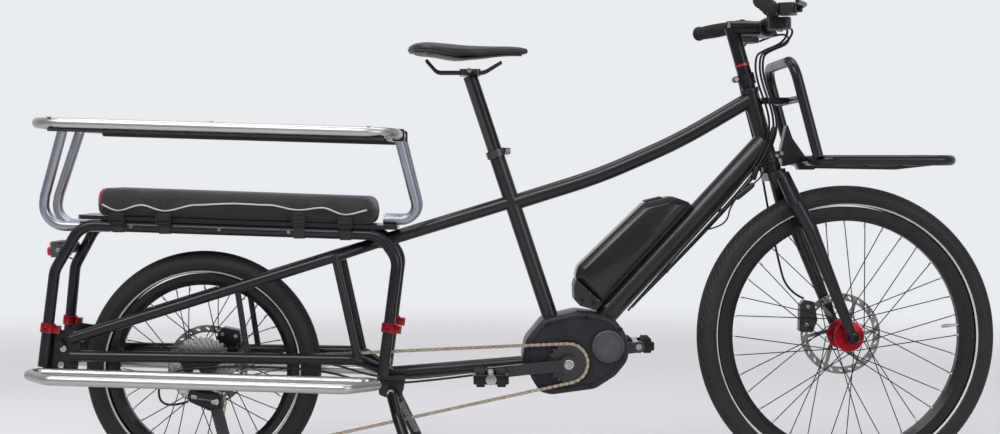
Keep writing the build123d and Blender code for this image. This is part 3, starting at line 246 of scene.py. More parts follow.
PAINT = surface("frame_paint", (0.0065, 0.007, 0.009), 0.3, patch=6, grain=700, bump=0.05, coat=0.15,
                wear=(0.03, 0.03, 0.032))
SILVER = surface("rail_silver", (0.47, 0.46, 0.45), 0.36, 1.0, patch=5, vary=0.07, grain=1500, bump=0.12,
                 depth=0.00008, stretch=(0.04, 1, 1))
LEG_SILVER = surface("leg_silver", (0.33, 0.345, 0.375), 0.36, 1.0, patch=5, vary=0.1, grain=1500, bump=0.12,
                     depth=0.00008, stretch=(1, 1, 0.05))
RED = surface("anodised_red", (0.30, 0.004, 0.010), 0.3, 0.75, patch=30, vary=0.12, grain=1200, bump=0.05,
              wear=(0.6, 0.18, 0.18))
TYRE = surface("tyre_rubber", (0.010, 0.010, 0.011), 0.62, patch=9, vary=0.3, grain=1400, bump=0.3, specular=0.4)
STRIPE = surface("tyre_reflective_line", (0.62, 0.62, 0.61), 0.42, patch=20, vary=0.08, grain=2000, bump=0.1)
RIM = surface("rim_black", (0.008, 0.008, 0.010), 0.3, 0.3, patch=12, grain=900, bump=0.05,
              wear=(0.12, 0.12, 0.12))
STEEL = surface("bright_steel", (0.40, 0.39, 0.38), 0.27, 1.0, patch=40, vary=0.12, grain=1600, bump=0.15,
                depth=0.00008, wear=(0.8, 0.8, 0.8))
DISC = surface("disc_steel", (0.26, 0.25, 0.24), 0.34, 1.0, patch=55, vary=0.18, grain=2200, bump=0.3,
               depth=0.00006)
CHAIN = surface("chain_steel", (0.36, 0.29, 0.20), 0.34, 1.0, patch=120, vary=0.35, grain=1200, bump=0.1,
                wear=(0.65, 0.58, 0.46))
ROLLER = surface("roller_steel", (0.55, 0.50, 0.42), 0.25, 1.0, patch=150, vary=0.25)
PLASTIC = surface("black_plastic", (0.009, 0.009, 0.010), 0.42, patch=20, vary=0.25, grain=2600, bump=0.35,
                  depth=0.0001, wear=(0.05, 0.05, 0.05))
GLOSSY = surface("gloss_black_plastic", (0.007, 0.007, 0.008), 0.25, patch=15, vary=0.2, grain=1200, bump=0.05,
                 coat=0.3)
GREY_PLASTIC = surface("dark_grey_plastic", (0.05, 0.051, 0.055), 0.45, patch=20, grain=2200, bump=0.3,
                       depth=0.0001, wear=(0.12, 0.12, 0.12))
MOTOR_PAINT = surface("motor_casing", (0.020, 0.022, 0.027), 0.4, 0.35, patch=18, grain=1500, bump=0.35,
                      depth=0.00015, wear=(0.12, 0.12, 0.13))
RUBBER = surface("soft_rubber", (0.010, 0.010, 0.010), 0.66, patch=25, vary=0.3, grain=1800, bump=0.35)
ALLOY = surface("alloy_black", (0.009, 0.009, 0.011), 0.32, 0.45, patch=18, grain=1000, bump=0.08, coat=0.15,
                wear=(0.16, 0.16, 0.16))
CABLE = surface("cable_black", (0.008, 0.008, 0.009), 0.4, patch=30, grain=1500, bump=0.08)
BOLT = surface("bolt_steel", (0.42, 0.42, 0.42), 0.3, 1.0, patch=90, vary=0.2, grain=1500, bump=0.1)
BLACK_BOLT = surface("bolt_black", (0.02, 0.02, 0.022), 0.32, 0.8, patch=90, vary=0.2, wear=(0.3, 0.3, 0.3))
SPRING = surface("spring_steel", (0.35, 0.34, 0.33), 0.35, 1.0, patch=60, vary=0.2)
RED_LENS = lens_material("red_lens", (0.55, 0.01, 0.03), 0.25)
CLEAR_LENS = lens_material("clear_lens", (0.62, 0.6, 0.6), 0.35)
SCREEN = surface("display_glass", (0.006, 0.007, 0.008), 0.08, patch=20, vary=0.1, grain=400, bump=0.01, coat=0.8)
COVER = weave("cushion_fabric", (0.013, 0.013, 0.014), (0.032, 0.031, 0.031), 0.0011, sheen=0.25)
LOWER = weave("cushion_lower_fabric", (0.005, 0.005, 0.006), (0.012, 0.012, 0.013), 0.0011, sheen=0.15)
RED_FABRIC = weave("cushion_red_fabric", (0.33, 0.006, 0.012), (0.5, 0.02, 0.03), 0.0011, sheen=0.3)
PIPING = weave("reflective_piping", (0.42, 0.42, 0.43), (0.62, 0.62, 0.62), 0.0007, bump=0.3, roughness=0.5)
STITCH = surface("stitch_thread", (0.05, 0.05, 0.05), 0.8, patch=60)
WEBBING = weave("strap_webbing", (0.008, 0.008, 0.008), (0.022, 0.022, 0.022), 0.0016, bump=0.8, sheen=0.2)
LEATHER = grained("saddle_cover", (0.009, 0.009, 0.010), 0.42, 0.0014, 0.25)
FOAM = grained("rail_sleeve_foam", (0.006, 0.006, 0.007), 0.75, 0.0018, 0.35)


# ---------------------------------------------------------------- mesh building
def basis(direction, hint=Vector((0, 0, 1))):
    """Two unit vectors square to a direction and to each other."""
    w = Vector(direction).normalized()
    u = w.cross(hint)
    if u.length < 1e-4:
        u = w.cross(Vector((1, 0, 0)))
    u.normalize()
    return u, w.cross(u), w


def loops(bm, rings, closed_ring=True, closed_run=False, caps=False):
    """Skin a list of equally long rings of points."""
    made = [[bm.verts.new(p) for p in ring] for ring in rings]
    count = len(made[0])
    runs = list(zip(made, made[1:])) + ([(made[-1], made[0])] if closed_run else [])
    for first, second in runs:
        for i in range(count if closed_ring else count - 1):
            j = (i + 1) % count
            bm.faces.new((first[i], first[j], second[j], second[i]))
    if caps:
        bm.faces.new(list(reversed(made[0])))
        bm.faces.new(made[-1])


def lathe(bm, profile, origin, direction, segments=48, closed=False):
    """Turn a profile of (radius, distance along the axis) about an axis."""
    u, v, w = basis(direction)
    rings = []
    for radius, along in profile:
        rings.append([Vector(origin) + w * along + (u * cos(tau * i / segments) + v * sin(tau * i / segments))
                      * max(radius, 0.01) for i in range(segments)])
    loops(bm, rings, closed_run=closed, caps=not closed)


def sweep(bm, points, section, up=Vector((0, 0, 1)), closed=False, caps=True):
    """Carry a section of (across, up) points along a route."""
    rings = []
    count = len(points)
    for i, point in enumerate(points):
        before = points[i - 1] if i or closed else points[i]
        after = points[(i + 1) % count] if i < count - 1 or closed else points[i]
        w = (after - before).normalized()
        u = w.cross(up).normalized()
        v = u.cross(w)
        rings.append([point + u * a + v * b for a, b in section])
    loops(bm, rings, closed_run=closed, caps=caps and not closed)


def circle(radius, count=12):
    return [(radius * cos(tau * i / count), radius * sin(tau * i / count)) for i in range(count)]


def rounded(width, height, radius, steps=3):
    """Outline of a rectangle with round corners."""
    outline = []
    for sx, sy, turn in ((1, 1, 0), (-1, 1, 1), (-1, -1, 2), (1, -1, 3)):
        for i in range(steps + 1):
            angle = pi / 2 * (turn + i / steps)
            outline.append((sx * (width / 2 - radius) + radius * cos(angle),
                            sy * (height / 2 - radius) + radius * sin(angle)))
    return outline


def plate(bm, outline, origin, x_dir, normal, thickness, chamfer=0.0):
    """Flat plate of an outline, from the origin's plane along the normal, with chamfered rims."""
    x_dir, normal = Vector(x_dir).normalized(), Vector(normal).normalized()
    y_dir = normal.cross(x_dir)
    middle = Vector((sum(p[0] for p in outline), sum(p[1] for p in outline))) / len(outline)
    rings = []
    levels = ((0, chamfer), (chamfer, 0), (thickness - chamfer, 0), (thickness, chamfer))
    for height, inset in levels if chamfer else ((0, 0), (thickness, 0)):
        ring = []
        for x, y in outline:
            away = Vector((x, y)) - middle
            x2, y2 = Vector((x, y)) - away.normalized() * inset if away.length > inset else middle
            ring.append(origin + x_dir * x2 + y_dir * y2 + normal * height)
        rings.append(ring)
    loops(bm, rings, caps=True)


def disc_ring(bm, outer, inner, origin, x_dir, normal, thickness):
    """Flat ring between two outlines that have the same number of points."""
    x_dir, normal = Vector(x_dir).normalized(), Vector(normal).normalized()
    y_dir = normal.cross(x_dir)
    rings = [[origin + x_dir * x + y_dir * y + normal * h for x, y in outline]
             for outline, h in ((outer, 0), (outer, thickness), (inner, thickness), (inner, 0))]
    loops(bm, rings, closed_run=True)


def fastener(bm, point, direction, rows):
    """Turned fastener; the rows are (radius, distance along the axis, whether hexagonal)."""
    u, v, w = basis(direction)
    rings = []
    for radius, along, hexagonal in rows:
        ring = []
        for i in range(24):
            angle = tau * i / 24
            reach = radius * (cos(pi / 6) / cos(angle % (pi / 3) - pi / 6) if hexagonal else 1)
            ring.append(Vector(point) + (u * cos(angle) + v * sin(angle)) * reach + w * along)
        rings.append(ring)
    loops(bm, rings, caps=True)


def screw(bm, point, direction, radius, height):
    """Socket-head screw with a hexagonal recess."""
    fastener(bm, point, direction, (
        (radius, 0, False), (radius, height * 0.75, False), (radius * 0.88, height, False),
        (radius * 0.52, height, True), (radius * 0.5, height * 0.35, True)))


def screw_pairs(name, material, body, points, radius, height, place=STRAIGHT, lean=0.0):
    """Piece of screws on both sides of the bicycle, which point outwards."""
    with Piece(name, material, body, "steel", place=place) as bm:
        for x, y, z in points:
            for side in (-1, 1):
                screw(bm, (x, side * y, z), (0, side, lean), radius, height)


def nut(bm, point, direction, radius, height):
    """Hexagonal nut with a rounded top."""
    fastener(bm, point, direction, (
        (radius, 0, True), (radius, height * 0.8, True), (radius * 0.88, height, False),
        (radius * 0.45, height, False), (radius * 0.4, height * 0.7, False)))


def block(bm, centre, size, radius, rotation=None, segments=3):
    """Box with rounded edges."""
    made = bmesh.ops.create_cube(bm, size=1.0)
    verts = made["verts"]
    bmesh.ops.scale(bm, vec=size, verts=verts)
    edges = list({e for v in verts for e in v.link_edges})
    result = bmesh.ops.bevel(bm, geom=edges, offset=radius, segments=segments, affect="EDGES", profile=0.5)
    verts = list({v for f in result["faces"] for v in f.verts} | {v for v in verts if v.is_valid})
    if rotation is not None:
        bmesh.ops.rotate(bm, cent=(0, 0, 0), matrix=rotation, verts=verts)
    bmesh.ops.translate(bm, vec=centre, verts=verts)


def coil(bm, start, end, radius, wire, turns):
    """Coil spring between two points."""
    u, v, w = basis(end - start)
    steps = int(turns * 14)
    route = [start.lerp(end, i / steps) + (u * cos(tau * turns * i / steps) + v * sin(tau * turns * i / steps))
             * radius for i in range(steps + 1)]
    sweep(bm, route, circle(wire, 6), up=w)


def smooth_route(points, resolution=10):
    """Points of the smooth curve steered by the given points (mm)."""
    data = bpy.data.curves.new("route", "CURVE")
    data.dimensions = "3D"
    data.resolution_u = resolution
    spline = data.splines.new("NURBS")
    spline.points.add(len(points) - 1)
    for place, point in zip(spline.points, points):
        place.co = (*point, 1)
    spline.order_u = 3
    spline.use_endpoint_u = True
    carrier = add_object("route", data)
    mesh = bpy.data.meshes.new_from_object(carrier)
    route = [v.co.copy() for v in mesh.vertices]
    bpy.data.objects.remove(carrier)
    bpy.data.curves.remove(data)
    bpy.data.meshes.remove(mesh)
    return route


def hose(bm, points, radius, sides=10):
    """Round cable or hose on a smooth route, with turn-free frames."""
    route = smooth_route(points)
    rings = []
    u = basis(route[1] - route[0])[0]
    for i, point in enumerate(route):
        w = (route[min(i + 1, len(route) - 1)] - route[max(i - 1, 0)]).normalized()
        u = (u - w * u.dot(w)).normalized()
        v = w.cross(u)
        rings.append([point + (u * a + v * b) for a, b in circle(radius, sides)])
    loops(bm, rings, caps=True)
    return route


class Piece:
    """Gathers geometry in millimetres and turns it into one object that rides on a body."""

    def __init__(self, name, material, body, slot, place=STRAIGHT, replaces=(), crease=38, subdivide=0):
        self.name, self.material, self.body, self.slot = name, material, body, slot
        self.place, self.nodes, self.crease, self.subdivide = place, replaces, crease, subdivide
        self.bm = bmesh.new()

    def __enter__(self):
        return self.bm

    def __exit__(self, kind, value, trace):
        if kind is None:
            self.obj = self.finished()

    def finished(self):
        bmesh.ops.recalc_face_normals(self.bm, faces=self.bm.faces)
        self.bm.transform(self.place)
        self.bm.transform(Matrix.Scale(MM, 4))
        return publish(self.bm, self.name, self.material, self.body, self.nodes, self.crease,
                       self.subdivide)


def publish(bm, name, material, body, nodes, crease, subdivide):
    """Make an object of a mesh in metres, shade it and tie it to its body."""
    mesh = mesh_of(bm, name)
    mesh.materials.append(material)
    mesh.shade_smooth()
    mesh.set_sharp_from_angle(angle=radians(crease))
    obj = add_object(name, mesh)
    if subdivide:
        smoother = obj.modifiers.new("Subdivision", "SUBSURF")
        smoother.levels = smoother.render_levels = subdivide
    if body:
        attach(obj, body)
    if nodes:
        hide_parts(*nodes)
    return obj


# ---------------------------------------------------------------- CAD nodes that stay as they are
KEPT = {
    PAINT: "head_tube seat_tube down_tube top_tube upper_stays lower_stays side_racks deck_plate frame_brackets"
           " front_rack fork",
    SILVER: "passenger_rail footrests",
    LEG_SILVER: "rail_legs",
    RED: "rack_collars stem_ring front_hub rear_hub",
    RIM: "front_rim rear_rim",
    DISC: "front_rotor rear_rotor",
    STEEL: "rear_axle frame_bolts",
    PLASTIC: "bar_controls display motor_cover battery_dock",
    GREY_PLASTIC: "tail_light",
    ALLOY: "front_caliper rear_caliper seat_clamp stem handlebar cranks derailleur_cage derailleur_body"
           " brake_lever_right brake_lever_left shift_lever seatpost kickstand",
    RED_LENS: "tail_lens",
}


def dress_kept_nodes():
    for material, names in KEPT.items():
        for name in names.split():
            mesh = NODES[name].data
            mesh.materials.clear()
            mesh.materials.append(material)


# ---------------------------------------------------------------- wheels
def tyre(name, node, body, axle, direction, radius, width, pitch_count):
    """Commuter tyre: crowned tread cut by slanted grooves, ribbed shoulders and plain sidewalls."""
    half = width / 2
    centre_r = radius - half
    across = [radians(a) for a in list(range(-136, -60, 7)) + list(range(-60, 61, 3)) + list(range(64, 137, 7))]
    segments = pitch_count * 8
    u, v, w = basis(direction)
    rings = []
    for i in range(segments):
        turn = tau * i / segments
        outward = u * cos(turn) + v * sin(turn)
        ring = []
        for a in across:
            reach = half
            spot = abs(a)
            if spot < radians(57):
                phase = (i / 8 + spot * 1.9 + (0.5 if a > 0 else 0)) % 1
                groove = spot > radians(12) and phase < 0.26
                centre_line = radians(7) < spot < radians(10.5)
                reach -= 1.3 if groove or centre_line else 0
            elif spot < radians(66):
                reach -= 0.5 if i % 4 < 2 else 0
            ring.append(axle + outward * (centre_r + reach * cos(a)) + w * (reach * sin(a)))
        inner = half - 5
        for a in (radians(136), radians(80), 0, radians(-80), radians(-136)):
            ring.append(axle + outward * (centre_r + inner * cos(a)) + w * (inner * sin(a)))
        rings.append(ring)
    with Piece(name, TYRE, body, "tyre_rubber", replaces=[node], crease=50) as bm:
        loops(bm, rings, closed_run=True)


def tyre_lines(name, body, axle, direction, line_r, radius, width):
    """Reflective line and two thin moulded ribs on each sidewall."""
    half = width / 2
    centre_r = radius - half

    def wall(r, proud):
        return (r, (half ** 2 - (r - centre_r) ** 2) ** 0.5 + proud)

    with Piece(name + "_line", STRIPE, body, "tyre_rubber") as bm:
        for side in (-1, 1):
            section = [wall(line_r - 1.7, -0.2), wall(line_r - 1.5, 0.35), wall(line_r + 1.5, 0.35),
                       wall(line_r + 1.7, -0.2)]
            lathe(bm, [(r, side * y) for r, y in section], axle, direction, 160, closed=True)
    with Piece(name + "_ribs", TYRE, body, "tyre_rubber") as bm:
        for side in (-1, 1):
            for r in (line_r + 8, line_r + 14):
                section = [wall(r - 0.7, -0.2), wall(r, 0.6), wall(r + 0.7, -0.2)]
                lathe(bm, [(r2, side * y) for r2, y in section], axle, direction, 160, closed=True)


SPOKES = 36


def wheel_trim(name, body, axle, direction, along, rim_inner, rotor_y):
    """Nipples at the rim, the valve, rotor screws and the rotor's lock ring."""
    w = direction
    u = (along - w * along.dot(w)).normalized()
    v = w.cross(u)

    def outward(angle):
        return u * cos(angle) - v * sin(angle)

    with Piece(name + "_nipples", STEEL, body, "steel") as bm:
        for i in range(SPOKES):
            side = 1 if i % 2 else -1
            place = axle + outward(tau * i / SPOKES) * rim_inner + w * side * 4
            lathe(bm, [(1.9, 0.5), (1.9, -7), (1.5, -8), (0.9, -11)], place, outward(tau * i / SPOKES), 8)
    with Piece(name + "_valve", STEEL, body, "steel") as bm:
        angle = tau * 0.5 / SPOKES
        lathe(bm, [(4.6, 0), (4.6, -3), (3, -3.2), (3, -16), (3.9, -16.4), (3.9, -34), (3.2, -36)],
              axle + outward(angle) * (rim_inner + 0.5), outward(angle), 20)
    with Piece(name + "_rotor_screws", BLACK_BOLT, body, "steel") as bm:
        for i in range(6):
            angle = tau * (i + 0.5) / 6
            screw(bm, axle + outward(angle) * 24.5 + w * (rotor_y + 0.9), w, 4.2, 2.6)
    with Piece(name + "_lock_ring", BOLT, body, "steel") as bm:
        lathe(bm, [(16, rotor_y + 1), (18.6, rotor_y + 1), (18.6, rotor_y + 3), (17, rotor_y + 4.4),
                   (13, rotor_y + 4.4), (13, rotor_y + 1)], axle, w, 48, closed=True)


def build_wheels():
    forward = STEERED.to_3x3() @ Vector((1, 0, 0))
    tyre("front_tyre_cover", "front_tyre", "front_wheel", FRONT_AXLE, FRONT_DIR, 331, 50, 120)
    tyre_lines("front_tyre", "front_wheel", FRONT_AXLE, FRONT_DIR, 289.5, 331, 50)
    tyre("rear_tyre_cover", "rear_tyre", "rear_wheel", REAR_AXLE, REAR_DIR, 259, 55, 94)
    tyre_lines("rear_tyre", "rear_wheel", REAR_AXLE, REAR_DIR, 214.5, 259, 55)
    wheel_trim("front_wheel", "front_wheel", FRONT_AXLE, FRONT_DIR, forward, 253, 37)
    wheel_trim("rear_wheel", "rear_wheel", REAR_AXLE, REAR_DIR, Vector((1, 0, 0)), 184, 46)


# ---------------------------------------------------------------- drive train
CHAIN_Y, PITCH = -58.0, 12.7
SPROCKET_TEETH, COG_TEETH, JOCKEY_TEETH = 21, 12, 11


def pitch_radius(teeth):
    return PITCH / 2 / sin(pi / teeth)


def toothed(teeth, tip=2.4, root=-2.6, points=8):
    """Outline of a chain wheel."""
    outline = []
    for i in range(teeth * points):
        wave = cos(tau * i / points)
        height = root + (tip - root) * (0.5 + 0.5 * wave) ** 1.6
        angle = tau * i / (teeth * points)
        outline.append(((pitch_radius(teeth) + height) * cos(angle), (pitch_radius(teeth) + height) * sin(angle)))
    return outline


def toothed_wheel(bm, centre, teeth, bore, y, thickness):
    outline = toothed(teeth)
    count = len(outline)
    disc_ring(bm, outline, circle(bore, count), beside(centre, y), (1, 0, 0), (0, 1, 0), thickness)


def chain_route(step=1.0):
    """Points along the chain, equally spaced, as (x, z)."""
    stops = [((REAR_AXLE.x, REAR_AXLE.z), pitch_radius(COG_TEETH), 1),
             ((CRANK.x, CRANK.z), pitch_radius(SPROCKET_TEETH), 1),
             ((TENSION.x, TENSION.z), pitch_radius(JOCKEY_TEETH), 1),
             ((GUIDE.x, GUIDE.z), pitch_radius(JOCKEY_TEETH), -1)]
    runs = []
    for (c1, r1, s1), (c2, r2, s2) in zip(stops, stops[1:] + stops[:1]):
        dx, dz = c2[0] - c1[0], c2[1] - c1[1]
        angle = atan2(dz, dx) + acos((s1 * r1 - s2 * r2) / hypot(dx, dz))
        runs.append((Vector((c1[0] + s1 * r1 * cos(angle), c1[1] + s1 * r1 * sin(angle))),
                     Vector((c2[0] + s2 * r2 * cos(angle), c2[1] + s2 * r2 * sin(angle)))))
    route = []
    for i, (start, end) in enumerate(runs):
        count = ceil((end - start).length / step)
        route += [start.lerp(end, k / count) for k in range(count)]
        centre, radius, sense = stops[(i + 1) % 4]
        leave = runs[(i + 1) % 4][0]
        a0 = atan2(end.y - centre[1], end.x - centre[0])
        a1 = atan2(leave.y - centre[1], leave.x - centre[0])
        turn = (a0 - a1) * sense % tau
        count = ceil(turn * radius / step)
        route += [Vector((centre[0] + radius * cos(a0 - sense * turn * k / count),
                          centre[1] + radius * sin(a0 - sense * turn * k / count))) for k in range(count)]
    return route


def chain_pins():
    """Places of the chain's pins, one pitch apart along the route."""
    route = chain_route()
    lengths = [0.0]
    for a, b in zip(route, route[1:] + route[:1]):
        lengths.append(lengths[-1] + (b - a).length)
    links = 2 * round(lengths[-1] / PITCH / 2)
    pins, k = [], 0
    for i in range(links):
        distance = lengths[-1] * i / links
        while lengths[k + 1] < distance:
            k += 1
        share = (distance - lengths[k]) / (lengths[k + 1] - lengths[k])
        pins.append(route[k].lerp(route[(k + 1) % len(route)], share))
    return pins


def link_outline(length):
    """Waisted side plate of a chain link, centred between its pins."""
    outline = []
    for side, offset in ((1, -pi / 2), (-1, pi / 2)):
        for i in range(7):
            angle = offset + pi * i / 6
            outline.append((side * length / 2 + 3.6 * cos(angle), 3.6 * sin(angle)))
        outline.append((0, side * 2.7))
    return outline


def build_chain():
    pins = chain_pins()
    count = len(pins)
    with Piece("chain_links", CHAIN, "frame", "chain_steel", replaces=["chain"]) as bm:
        for i, start in enumerate(pins):
            end = pins[(i + 1) % count]
            middle = (start + end) / 2
            along = Vector((end.x - start.x, 0, end.y - start.y))
            gap = 1.35 if i % 2 else 2.15
            for side in (-1, 1):
                y = CHAIN_Y + (gap if side > 0 else -gap - 0.75)
                plate(bm, link_outline(along.length), Vector((middle.x, y, middle.y)), along, (0, 1, 0), 0.75)
    with Piece("chain_rollers", ROLLER, "frame", "chain_steel") as bm:
        for x, z in pins:
            lathe(bm, [(1.7, -3.1), (1.7, -1.3), (3.1, -1.25), (3.1, 1.25), (1.7, 1.3), (1.7, 3.1)],
                  (x, CHAIN_Y, z), (0, 1, 0), 10)


def build_cogs():
    with Piece("sprocket_ring", ALLOY, "sprocket", "alloy_black", replaces=["sprocket"]) as bm:
        toothed_wheel(bm, CRANK, SPROCKET_TEETH, 33, CHAIN_Y - 0.9, 1.8)
        lathe(bm, [(11.2, -1.2), (33.2, -0.8), (33.2, 0.8), (11.2, 1.2)], beside(CRANK, CHAIN_Y),
              (0, 1, 0), 64, closed=True)
        lathe(bm, [(11.2, -3), (17, -3), (18, -2), (18, 3), (11.2, 3)], beside(CRANK, CHAIN_Y),
              (0, 1, 0), 48, closed=True)
    with Piece("cassette_cogs", STEEL, "cassette", "steel", replaces=["cassette"]) as bm:
        for i in range(10):
            teeth = COG_TEETH + round(i * 2.6)
            y = CHAIN_Y - 0.9 + i * 3.9
            toothed_wheel(bm, REAR_AXLE, teeth, 17.1, y, 1.8)
            if i:
                lathe(bm, [(17.1, y - 2.1), (19.5, y - 2.1), (19.5, y), (17.1, y)], beside(REAR_AXLE, 0),
                      (0, 1, 0), 32, closed=True)
        lathe(bm, [(9, -2.9), (15, -2.9), (16.5, -1.6), (16.5, -0.9), (9, -0.9)],
              beside(REAR_AXLE, CHAIN_Y), (0, 1, 0), 36, closed=True)
    for name, centre in (("guide_pulley", GUIDE), ("tension_pulley", TENSION)):
        with Piece(name + "_wheel", PLASTIC, name, "black_plastic", replaces=[name]) as bm:
            toothed_wheel(bm, centre, JOCKEY_TEETH, 9, CHAIN_Y - 1.0, 2.0)
            lathe(bm, [(3.1, -2.9), (8.5, -2.9), (9.2, -2.2), (9.2, 2.2), (8.5, 2.9), (3.1, 2.9)],
                  beside(centre, CHAIN_Y), (0, 1, 0), 32, closed=True)


def build_derailleur_trim():
    with Piece("derailleur_bolts", BOLT, "frame", "steel") as bm:
        for centre in (GUIDE, TENSION):
            screw(bm, beside(centre, CHAIN_Y - 6.4), (0, -1, 0), 4.5, 2.6)
        screw(bm, (-504, -77.6, 208), (0, -1, 0), 7.5, 4)
        screw(bm, (-459, -77.6, 196), (0, -1, 0), 8.5, 4)
    with Piece("derailleur_linkage", ALLOY, "frame", "alloy_black") as bm:
        for x0, z0, x1, z1 in ((-510, 217, -462, 205), (-508, 199, -458, 186)):
            along = Vector((x1 - x0, 0, z1 - z0))
            plate(bm, rounded(along.length + 12, 9, 4), Vector(((x0 + x1) / 2, -82, (z0 + z1) / 2)), along,
                  (0, 1, 0), 4.4, 1.0)
    with Piece("derailleur_spring", SPRING, "frame", "steel") as bm:
        coil(bm, Vector((-503, -80.5, 205)), Vector((-466, -80.5, 199)), 3.4, 0.7, 9)


def build_crank_trim():
    low, high = corners("cranks")
    with Piece("crank_bolts", BOLT, "crankset", "steel") as bm:
        for side, y in ((-1, low.y), (1, high.y)):
            lathe(bm, [(10.5, 0), (10.5, 1.6), (9, 2.4), (5.4, 2.4), (5, 0.6)], beside(CRANK, y),
                  (0, side, 0), 32)
    for side, body, node in ((-1, "right_pedal", "pedal_right"), (1, "left_pedal", "pedal_left")):
        build_pedal(side, body, node)


def build_pedal(side, body, node):
    """Platform pedal: axle barrel, cage plates, ribbed rubber treads, end cap and reflectors."""
    low, high = corners(node)
    inner, outer = (high.y - 18, low.y) if side < 0 else (low.y + 18, high.y)
    centre = Vector(((low.x + high.x) / 2, 0, (low.z + high.z) / 2))
    span = abs(outer - inner)
    middle = (inner + outer) / 2

    def at(x, y, z):
        return centre + Vector((x, y, z))

    with Piece(node + "_barrel", STEEL, body, "steel", replaces=[node]) as bm:
        lathe(bm, [(7.0, -14), (7.0, 0), (9.5, 1), (11.0, 6), (8.8, 20), (8.8, span - 14), (11, span - 8),
                   (11, span - 1), (8, span - 0.2)], at(0, inner, 0), (0, side, 0), 32)
    with Piece(node + "_cage", ALLOY, body, "alloy_black") as bm:
        for y in (inner + side * 5, outer - side * 5):
            block(bm, at(0, y, 0), (74, 6, 20), 2.4)
        for x in (-33, 33):
            block(bm, at(x, middle, 0), (6, span - 8, 14), 2)
    with Piece(node + "_treads", RUBBER, body, "rubber_black") as bm:
        for x in (-22, 22):
            block(bm, at(x, middle, 0), (19, span - 18, 31), 3)
            for k in range(9):
                y = middle - (span - 30) / 2 + k * (span - 30) / 8
                for z in (-15.6, 15.6):
                    block(bm, at(x, y, z), (17, 4, 2.4), 0.8, segments=1)
    with Piece(node + "_reflectors", CLEAR_LENS, body, "rubber_black") as bm:
        for x in (-36.6, 36.6):
            block(bm, at(x, middle, 0), (1.8, 44, 9), 0.6, segments=1)


# ---------------------------------------------------------------- motor and battery
def casing(bm, outline, plane_point, x_dir, profile, corner):
    """Moulded housing of a side outline; the profile lists (distance in from the rim, half width)."""
    x_dir = Vector(x_dir).normalized()
    normal = Vector((0, -1, 0))
    y_dir = normal.cross(x_dir)
    middle = Vector((sum(p[0] for p in outline) / len(outline), sum(p[1] for p in outline) / len(outline)))

    def inward(edge, point):
        across = Vector((-edge.y, edge.x)).normalized()
        return across if across.dot(middle - point) >= 0 else -across

    def inset(distance):
        """Outline moved inwards by a distance, edge by edge."""
        count = len(outline)
        moved = []
        for i, p in enumerate(outline):
            before, here, after = Vector(outline[i - 1]), Vector(p), Vector(outline[(i + 1) % count])
            n1, n2 = inward(here - before, here), inward(after - here, here)
            moved.append(here + (n1 + n2) / max(0.35, 1 + n1.dot(n2)) * distance)
        return moved

    rings = []
    for sign in (1, -1):
        for distance, height in (reversed(profile) if sign > 0 else profile):
            rings.append([plane_point + x_dir * p.x + y_dir * p.y + normal * sign * height
                          for p in round_corners(inset(distance), corner)])
    loops(bm, rings, caps=True)


def round_corners(points, radius, steps=4):
    """Outline with each corner replaced by a short curve."""
    result = []
    count = len(points)
    for i in range(count):
        a, b, c = (Vector(points[k % count]) for k in (i - 1, i, i + 1))
        reach = min(radius, (a - b).length * 0.45, (c - b).length * 0.45)
        start, end = b + (a - b).normalized() * reach, b + (c - b).normalized() * reach
        for k in range(steps + 1):
            t = k / steps
            result.append(start * (1 - t) ** 2 + b * 2 * t * (1 - t) + end * t ** 2)
    return result


BATTERY_AT, BATTERY_DIR = Vector((419.7, 0, 409.0)), Vector((0.678, 0, 0.735))
BATTERY = [(-30.6, 31), (-30.6, 107), (-8, 120), (196, 108), (246, 74), (264, 31)]
MOTOR = [(204, 284), (212, 325), (250, 371), (322, 388), (374, 383), (407, 371), (431, 339), (438, 300),
         (433, 278), (409, 248), (364, 219), (268, 206), (244, 212), (228, 236)]


def on_battery(along, away, y):
    across = Vector((-BATTERY_DIR.z, 0, BATTERY_DIR.x))
    return BATTERY_AT + BATTERY_DIR * along + across * away + Vector((0, y, 0))


def build_battery():
    with Piece("battery_shell", GLOSSY, "battery", "black_plastic", replaces=["battery_case"], crease=30) as bm:
        casing(bm, BATTERY, BATTERY_AT, BATTERY_DIR, [(0, 26), (0.6, 28.5), (13, 40.6), (15.5, 42)], 8)
    with Piece("battery_end_grip", PLASTIC, "battery", "black_plastic") as bm:
        turned = Matrix.Rotation(-atan2(BATTERY_DIR.z, BATTERY_DIR.x), 3, "Y")
        block(bm, on_battery(214, 97, 0), (38, 50, 4), 1.6, turned @ Matrix.Rotation(radians(34), 3, "Y"))
    with Piece("battery_lock", BOLT, "battery", "steel") as bm:
        lathe(bm, [(9, -1), (9, 1.5), (7.6, 2.4), (3, 2.4), (2.8, 0.4)], on_battery(238, 60, 41), (0, 1, 0), 32)
    with Piece("battery_charge_marks", CLEAR_LENS, "battery", "black_plastic") as bm:
        for k in range(5):
            lathe(bm, [(1.8, -0.5), (1.8, 0.4), (1.2, 0.7)], on_battery(196 + k * 7, 62, 41.6), (0, 1, 0), 12)
    with Piece("battery_dock_screws", BLACK_BOLT, "frame", "steel") as bm:
        for along, away in ((-54, 64), (-42, 42)):
            for side in (-1, 1):
                screw(bm, on_battery(along, away, side * 37.9), (0, side, 0), 4, 2.2)


